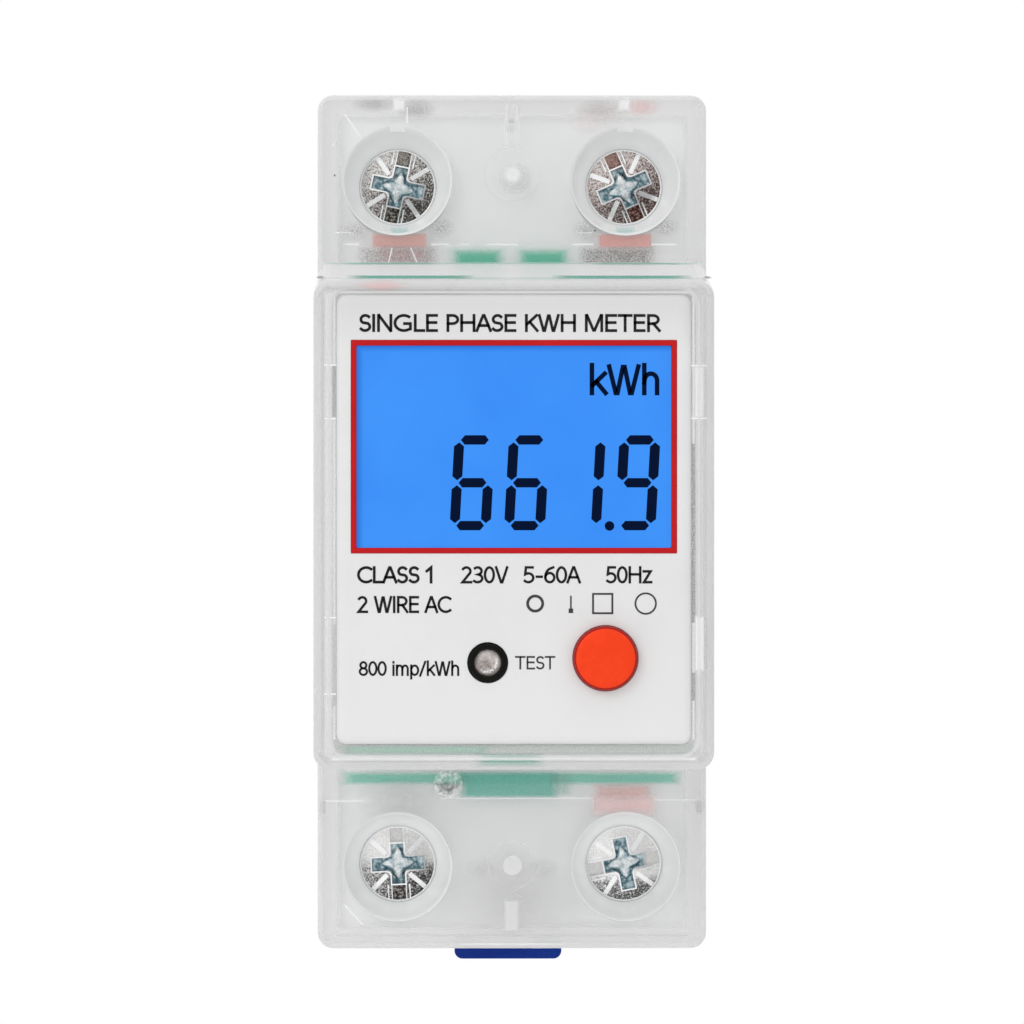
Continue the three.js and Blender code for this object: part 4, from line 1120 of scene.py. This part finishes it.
TUCKS = {  # how much closer a letter stands to its neighbours on its left and right
    "A": (0.1, 0.1), "V": (0.06, 0.08), "W": (0.05, 0.05), "T": (0.05, 0.05), "L": (0, 0.06), "K": (0, 0.09),
    "R": (0, 0.06), "P": (0, 0.05), "E": (0, 0.02), "C": (0.04, 0.07), "G": (0.04, 0), "S": (0.05, 0.05),
    "0": (0.05, 0.05), "6": (0.05, 0.04), "8": (0.04, 0.04), "3": (0.05, 0.04), "5": (0.04, 0.04),
    "2": (0.04, 0.04), "1": (0.08, 0), "k": (0, 0.08), "/": (0.06, 0.06), "p": (0, 0.04), "z": (0.03, 0.03),
}


def beyond(end, neighbour, width):
    """The end of a line moved out by half the line's width."""
    share = width / 2 / math.dist(end, neighbour)
    return end[0] + (end[0] - neighbour[0]) * share, end[1] + (end[1] - neighbour[1]) * share


def ribbon(points, width, back, front):
    """A line of even width drawn through points and standing between two depths."""
    points = [point for i, point in enumerate(points) if i == 0 or math.dist(point, points[i - 1]) > 1e-3]
    loop = math.dist(points[0], points[-1]) < 1e-3
    if loop:
        points = points[:-1]
    else:
        ends = beyond(points[0], points[1], width), beyond(points[-1], points[-2], width)
        points = [ends[0], *points[1:-1], ends[1]]
    count = len(points)
    rings = []
    for i, (x, z) in enumerate(points):
        before = points[i - 1] if i or loop else None
        after = points[(i + 1) % count] if i < count - 1 or loop else None
        normals = []
        for a, b in ((before, (x, z)), ((x, z), after)):
            if a and b:
                length = math.dist(a, b)
                normals.append(((a[1] - b[1]) / length, (b[0] - a[0]) / length))
        nx, nz = (sum(n[k] for n in normals) / len(normals) for k in (0, 1))
        size = math.hypot(nx, nz)
        reach = width / 2 / max(size, SHARPEST) / size
        nx, nz = nx * reach, nz * reach
        rings.append([
            (x + nx, back, z + nz), (x + nx, front, z + nz), (x - nx, front, z - nz), (x - nx, back, z - nz)])
    return loft(rings, closed=loop)


def lettering(text, x0, x1, z0, z1, weight, back, front):
    """Plain stroke lettering between x0 and x1, its capitals from z0 to z1, as a list of pieces."""
    strokes = []
    cursor = end = 0
    for letter in text:
        if letter == " ":
            cursor += WORD_GAP
            continue
        glyph = GLYPHS[letter]
        left, right = TUCKS.get(letter, (0, 0))
        if strokes:
            cursor -= left
        strokes += [[(cursor + x, z) for x, z in stroke] for stroke in glyph]
        end = cursor + max(x for stroke in glyph for x, _ in stroke)
        cursor = end + LETTER_GAP - right
    high = z1 - z0 - weight
    wide = (x1 - x0 - weight) / end
    x0, z0 = x0 + weight / 2, z0 + weight / 2
    return [
        ribbon([(x0 + x * wide, z0 + z * high) for x, z in stroke], weight, back, front) for stroke in strokes]


INK = 0.03  # how far the printing stands out


def outline_ring(outer, inner, y):
    """A closed band of ink between two outlines of equal length."""
    edges = ((outer, y), (outer, y - INK), (inner, y - INK), (inner, y))
    return loft([[(x, depth, z) for x, z in outline] for outline, depth in edges], closed=True)


def printing():
    y = LABEL["front"] + 0.01
    dark = []
    for text, x0, x1, z0, z1, weight in (
            ("SINGLE PHASE KWH METER", -13.9, 13.15, 17.02, 18.63, 0.255),
            ("CLASS 1", -14.05, -7.3, -5.5, -3.95, 0.245),
            ("230V", -4.75, -0.5, -5.5, -3.95, 0.225),
            ("5-60A", 0.85, 6.0, -5.5, -3.95, 0.225),
            ("50Hz", 8.25, 12.4, -5.5, -3.95, 0.225),
            ("2 WIRE AC", -14.05, -5.6, -8.15, -6.62, 0.225),
            ("800 imp/kWh", -13.9, -4.9, -13.78, -12.45, 0.19)):
        dark += lettering(text, x0, x1, z0, z1, weight, y, y - INK)
    row = -7.3
    grey = [
        *lettering("TEST", 0.1, 3.7, -13.2, -12.0, 0.16, y, y - INK),
        outline_ring(circle(11.8, row, 1.0), circle(11.8, row, 0.84), y),
        outline_ring(square(7.95, row, 0.95), square(7.95, row, 0.78), y),
        prism(square(5.1, -7.95, 0.2), y - INK, y),
        prism([(5.03, -7.8), (5.17, -7.8), (5.17, -6.6), (5.03, -6.6)], y - INK, y),
        outline_ring(circle(1.9, row, 0.8), circle(1.9, row, 0.55), y),
    ]
    finish_piece(make("label_lettering", *dark), materials=(PRINT,))
    finish_piece(make("label_symbols", *grey), materials=(PRINT_GREY,))


def bezel():
    hx, hz = BEZEL["half_x"], BEZEL["half_z"]
    ix, iz = LCD["half_x"] + 0.01, LCD["half_z"] + 0.01
    front, back, middle = BEZEL["front"], BEZEL["back"], BEZEL["z"]
    levels = [
        (hx, hz, 0.1, back), (hx, hz, 0.1, front + 0.05), (hx - 0.03, hz - 0.03, 0.1, front),
        (ix + 0.03, iz + 0.03, 0.06, front), (ix, iz, 0.05, front + 0.05), (ix, iz, 0.05, back)]
    rings = [rounded_ring(-x, x, middle - z, middle + z, r, y, 4) for x, z, r, y in levels]
    border = loft(rings, closed=True)
    finish_piece(make("lcd_bezel", border), replaces=("lcd_bezel",), materials=(BEZEL_RED,))


SEGMENTS = {"6": "afgedc", "1": "bc", "9": "abgfcd"}
DIGIT_HALF = 1.39
ROW = 3.84
SLANT = 0.055


def segment(kind):
    """A bar with pointed ends, centred on the place of one of the seven segments."""
    centre, upright = {
        "a": ((0, ROW), False), "g": ((0, 0), False), "d": ((0, -ROW), False),
        "f": ((-DIGIT_HALF, ROW / 2), True), "b": ((DIGIT_HALF, ROW / 2), True),
        "e": ((-DIGIT_HALF, -ROW / 2), True), "c": ((DIGIT_HALF, -ROW / 2), True),
    }[kind]
    half_long, half_wide, point = (1.7, 0.45, 0.36) if upright else (1.25, 0.42, 0.34)
    bar = [
        (-half_long, 0), (-half_long + point, -half_wide), (half_long - point, -half_wide),
        (half_long, 0), (half_long - point, half_wide), (-half_long + point, half_wide)]
    if upright:
        bar = [(z, x) for x, z in bar]
    return [(centre[0] + x, centre[1] + z) for x, z in bar]


def display():
    hx, hz = LCD["half_x"], LCD["half_z"]
    glass = make(
        "lcd_glass",
        block(-hx, hx, LCD["front"], LCD["back"], LCD["z"] - hz, LCD["z"] + hz, 0.15, 0.06))
    finish_piece(glass, replaces=("lcd_glass",), materials=(LCD_BLUE,))
    y = LCD["front"] - 0.02
    middle = 3.52
    marks = []
    for digit, centre in (("6", -3.71), ("6", 1.17), ("1", 6.18), ("9", 11.08)):
        for kind in SEGMENTS[digit]:
            outline = [(centre + x + SLANT * z, middle + z) for x, z in segment(kind)]
            marks.append(prism(outline, y - 0.02, y + 0.03))
    marks.append(prism(circle(8.57, -0.35, 0.43), y - 0.02, y + 0.03))
    marks += lettering("kWh", 6.79, 13.04, 11.36, 14.15, 0.41, y + 0.03, y - 0.02)
    finish_piece(make("lcd_segments", *marks), materials=(SEGMENT,))


label_plate()
printing()
bezel()
display()


# ---------------------------------------------------------------- button and lamp
def button():
    front = BUTTON["front"]
    cap = lathe(
        [(0, front), (1.5, front + 0.02), (2.3, front + 0.07), (2.55, front + 0.12), (2.7, front + 0.22),
         (2.82, front + 0.42), (2.88, front + 0.75), (2.9, front + 1.1), (2.9, -55.25), (3.0, -55.2),
         (3.68, -55.2), (3.7, -55.15), (3.7, -54.62), (0, -54.6)],
        BUTTON["x"], BUTTON["z"], TURNED_STEPS)
    finish_piece(make("button_cap", cap), "button", ("button_cap",), (BUTTON_RED,), 50)


def lamp():
    x, z = LAMP["x"], LAMP["z"]
    ring = lathe(
        [(1.23, -57.9), (1.25, -58.2), (1.32, -58.36), (1.48, -58.4), (1.62, -58.36), (1.71, -58.22),
         (1.74, -58.0), (1.78, -57.9), (1.78, -55.6), (1.3, -55.6), (1.3, -57.2)],
        x, z, 72, closed=True)
    finish_piece(
        make("pulse_led_ring", ring), replaces=("pulse_led_ring",), materials=(RING_BLACK,))
    lens = lathe(
        [(0, -58.16), (0.45, -58.14), (0.85, -58.08), (1.1, -58.0), (1.2, -57.88), (1.22, -57.6),
         (1.2, -57), (1.15, -52.62), (1.48, -52.6), (1.5, -52.5), (1.5, -51.5), (0, -51.5)],
        x, z, 48)
    finish_piece(make("pulse_led", lens), replaces=("pulse_led",), materials=(LENS,))


button()
lamp()


# ---------------------------------------------------------------- terminal screws
SCREW_TONES = {  # face dark and light, share of painted sheen, from which height, slot dark and light
    "upper_left": ((0.07, 0.06, 0.055), (0.76, 0.74, 0.72), 0, 0, (0.02, 0.02, 0.018), (0.45, 0.42, 0.38)),
    "upper_right": ((0.1, 0.06, 0.055), (0.74, 0.67, 0.65), 0, 0, (0.06, 0.022, 0.018), (0.48, 0.32, 0.28)),
    "lower_left": ((0.05, 0.05, 0.05), (0.8, 0.79, 0.78), 0.75, 0, (0.04, 0.035, 0.035), (0.62, 0.58, 0.56)),
    "lower_right": ((0.1, 0.1, 0.1), (0.92, 0.91, 0.9), 0.8, -1.4, (0.06, 0.05, 0.05), (0.66, 0.62, 0.60)),
}
DOME = 0.036  # how fast the head's face falls away, per mm
RIDGE_BASE = HEAD["front"] + 0.2


def cross_outline(grow):
    """The cross recess: its long arm lies across the slot."""
    a, b, w, fillet = 2.4 + grow, 1.85 + grow, 0.6 + grow, 0.34
    quarter = [(a, w), (w + fillet, w), (w + fillet * 0.3, w + fillet * 0.3), (w, w + fillet), (w, b)]
    back = quarter[::-1]
    return [
        *quarter, *[(-x, z) for x, z in back], *[(-x, -z) for x, z in quarter], *[(x, -z) for x, z in back]]


def cross_rings(levels):
    """The recess's outline at (grow, depth behind the head's face) levels."""
    return [[(x, HEAD["front"] + dy, z) for x, z in cross_outline(grow)] for grow, dy in levels]


def join(name, parts):
    """One object from (object, material) parts; an object without a material keeps its own."""
    bm = bmesh.new()
    materials = []
    for obj, material in parts:
        if material:
            obj.data.materials.append(material)
        start = len(bm.faces)
        bm.from_mesh(obj.data)
        bm.faces.ensure_lookup_table()
        for face in bm.faces[start:]:
            own = obj.data.materials[face.material_index]
            if own not in materials:
                materials.append(own)
            face.material_index = materials.index(own)
        bpy.data.objects.remove(obj)
    mesh = bpy.data.meshes.new(name)
    bm.to_mesh(mesh)
    bm.free()
    for material in materials:
        mesh.materials.append(material)
    return placed(name, mesh)


def ridge(x0, x1, z0, z1, height, flat):
    """A low ridge with sloping sides that runs along Z on the head's face."""
    middle, half = (x0 + x1) / 2, (x1 - x0) / 2
    rings = []
    for y, share in ((RIDGE_BASE, 1), (RIDGE_BASE - height, flat)):
        x_low, x_high = middle - half * share, middle + half * share
        rings.append([(x_low, y, z0), (x_high, y, z0), (x_high, y, z1), (x_low, y, z1)])
    return loft(rings)


def screw_head(name, x, z):
    """The screw's body with its slot and cross recess."""
    front, r = HEAD["front"], HEAD["half_x"]
    profile = [
        (0, front + 0.05), (3.4, front + 0.05), (3.5, front + 0.3), (3.58, front + 0.55), (r, front + 0.9),
        (r, -32.5), (3.5, -32.4), (2.5, -32.4), (2.5, -22.5), (2.0, -22), (0, -22)]
    head = make("head", lathe(profile, segments=TURNED_STEPS))
    dark, light, sheen_share, sheen_from, slot_dark, slot_light = SCREW_TONES[name]
    head.data.materials.append(screw_metal("zinc_face_" + name, x, z, dark, light, sheen_share, sheen_from))
    slot_metal = screw_metal("zinc_slot_" + name, x, z, slot_dark, slot_light, sheen_share, sheen_from)
    slot = [[(-0.6, y, -4), (0.6, y, -4), (0.6, y, 4), (-0.6, y, 4)] for y in (front - 1, front + 0.9)]
    cut(head, loft(slot), material=slot_metal)
    cut(head, loft(cross_rings(((0.0, -1), (0.0, 0.15), (-0.06, 1.6)))), material=RECESS)
    return head


def bright_edges():
    """The polished rim, the edges of the recess, and the ridges that stand on the head's face."""
    front = HEAD["front"]
    rim = [
        (3.36, front + 0.2), (3.38, front - 0.04), (3.42, front - 0.06), (3.5, front), (3.57, front + 0.1),
        (3.595, front + 0.6), (3.3, front + 0.7)]
    pieces = [
        lathe(rim, segments=TURNED_STEPS, closed=True),
        loft(cross_rings(((0.19, 0.2), (0.15, -0.02), (0.02, -0.02), (0.0, 0.3))), closed=True)]
    for side in (-1, 1):
        for end in (-1, 1):
            for near, far in ((0.6, 0.74), (0.9, 1.1)):
                pieces.append(ridge(*span(side, near, far), *span(end, 1.95, 3.36), 0.2, 0.6))
    for angle in (47, 133, 227, 313):
        for lean, half_wide, high in ((-0.16, 0.09, 0.2), (0, 0.16, 0.153), (0.16, 0.09, 0.2)):
            bar = ridge(lean - half_wide, lean + half_wide, 1.42, 3.34, high, 0.6)
            pieces.append(turned_about(bar, angle))
    return make("bright", *pieces)


def star():
    """The four-pointed floor of the recess."""
    points = []
    for i in range(16):
        reach = (1.3, 0.98, 0.72, 0.98)[i % 4]
        angle = math.radians(22.5 * i)
        points.append((reach * math.sin(angle), reach * math.cos(angle)))
    levels = ((1.3, 1.62), (1.1, 1.5), (0.85, 1.42), (0.3, 1.46))
    return make("star", loft([[(x * k, HEAD["front"] + dy, z * k) for x, z in points] for k, dy in levels]))


def terminal_screw(name):
    x, z, _ = TERMINALS[name]
    parts = [(screw_head(name, x, z), None), (bright_edges(), POLISHED), (star(), STAR)]
    screw = join("terminal_screw_" + name, parts)
    for vertex in screw.data.vertices:
        reach = math.hypot(vertex.co.x, vertex.co.z) / MM
        if vertex.co.y < (HEAD["front"] + 0.7) * MM:
            vertex.co.y += DOME * reach * reach * MM
    turn = Matrix.Rotation(math.radians(SLOT_TURNS[name]), 4, "Y")
    screw.matrix_world = Matrix.Translation((x * MM, 0, z * MM)) @ turn
    bpy.context.view_layer.update()
    finish_piece(screw, "screw_" + name, ("terminal_screw_" + name,), angle=30)


for screw_name in TERMINALS:
    terminal_screw(screw_name)


# ---------------------------------------------------------------- sealing screw, clip and rear housing
def seal_screw():
    head = lathe(
        [(0.3, -40.2), (0.55, -40.25), (0.62, -40.75), (0.8, -40.88), (1.1, -40.9), (1.32, -40.8),
         (1.4, -40.5), (1.4, -39.1), (1.35, -39), (0.8, -39), (0.8, -14.3), (0.5, -14), (0, -14)],
        SEAL["x"], SEAL["z"], 48)
    finish_piece(make("seal_screw", head), "sealing_screw", ("seal_screw",), (SEAL_CLEAR,))


def rail_clip():
    clip = bevel(from_node("din_clip"), 0.3, 40, 3)
    finish_piece(clip, "rail_clip", ("din_clip",), (CLIP_BLUE,))


def rear_housing():
    """The back case with its edges broken, kept within the width of the meter."""
    rear = bevel(from_node("rear_housing"), 0.12, 50, 2)
    for vertex in rear.data.vertices:
        vertex.co.x = max(-HALF_WIDTH * MM, min(HALF_WIDTH * MM, vertex.co.x))
    finish_piece(rear, replaces=("rear_housing",), materials=(CASE_REAR,), angle=40)


seal_screw()
rail_clip()
rear_housing()


# ---------------------------------------------------------------- carried-over inner parts
LOOKS = {
    "main_board": BOARD, "display_board": BOARD, "metering_chip": BLACK, "microcontroller": BLACK,
    "bridge_rectifier": BLACK, "board_connector": BLACK, "tact_switch_body": BLACK,
    "tact_switch_plunger": CAN, "crystal": CAN, "film_capacitor": YELLOW,
    "electrolytic_capacitor": BLUE_SLEEVE, "varistor": LACQUER, "fusible_resistor": LACQUER,
    "neutral_busbar": COPPER, "live_out_busbar": COPPER, "live_in_busbar": TINNED, "current_shunt": MANGANIN,
    "sense_lead_upper": LEAD_RED, "live_tap_lead": LEAD_RED, "sense_lead_lower": LEAD_BLACK,
    "lcd_backlight": WHITE_MOULDING, "lcd_holder": WHITE_MOULDING, "lcd_zebra_strip": RUBBER,
}
for cage_name in TERMINALS:
    LOOKS["lift_cage_" + cage_name] = CAGE_STEEL
for node, look in LOOKS.items():
    for material_slot in NODES[node].material_slots:
        material_slot.material = look


# ---------------------------------------------------------------- floor, light and camera
FLOOR = {"radius": 500, "top": -100, "thick": 4}  # in mm


def floor():
    bottom = FLOOR["top"] - FLOOR["thick"]
    rings = [[(x, y, z) for x, y in circle(0, 0, FLOOR["radius"], 96)] for z in (FLOOR["top"], bottom)]
    obj = make("floor", loft(rings))
    obj.data.materials.append(FLOOR_PALE)


def area_light(name, place, size, power):
    """A square light that looks at the middle of the meter's front."""
    lamp_data = bpy.data.lights.new(name, "AREA")
    lamp_data.shape = "SQUARE"
    lamp_data.size = size
    lamp_data.energy = power
    obj = placed(name, lamp_data)
    obj.location = place
    direction = Vector((0, SHOULDER_Y * MM, 0)) - Vector(place)
    obj.rotation_euler = direction.to_track_quat("-Z", "Y").to_euler()


def studio():
    """Even white light that fades towards the lower right, white behind the meter, and soft lights."""
    world = bpy.data.worlds.new("studio")
    bpy.context.scene.world = world
    sky = Nodes(world)
    output = sky.node("ShaderNodeOutputWorld")
    background = sky.node("ShaderNodeBackground")
    sky.feed(output.inputs[0], background.outputs[0])
    where = sky.node("ShaderNodeTexCoord").outputs["Generated"]
    lean = sky.node("ShaderNodeVectorMath", operation="DOT_PRODUCT")
    lean.inputs[1].default_value = (-0.5, 0, 0.86)
    sky.feed(lean.inputs[0], where)
    front = sky.ranged(lean.outputs["Value"], -0.2, 0.2, 0.34, 0.94)
    behind = sky.ranged(sky.apart(where)[1], -0.1, 0.5)
    blend = sky.node("ShaderNodeMix")
    for index, value in ((0, behind), (2, front), (3, 1.0)):
        sky.feed(blend.inputs[index], value)
    sky.feed(background.inputs["Strength"], blend.outputs[0])
    sky.feed(background.inputs["Color"], (1, 1, 1))
    area_light("key", (-0.55, -0.75, 0.6), 0.45, 1.5)
    area_light("fill", (0.7, -0.6, 0.15), 0.5, 0.5)
    area_light("top", (0.05, -0.15, 0.8), 0.5, 0.6)


def camera():
    """The photograph's view: straight on, from slightly to the left of the middle."""
    data = bpy.data.cameras.new("camera")
    data.lens = 218
    data.sensor_width = 36
    data.clip_start = 0.01
    obj = placed("camera", data)
    obj.location = (-0.00555, -0.6135, 0.0009)
    obj.rotation_euler = (math.radians(90), 0, math.radians(-0.5546))
    bpy.context.scene.camera = obj


floor()
studio()
camera()
bpy.context.scene.view_settings.view_transform = "Standard"
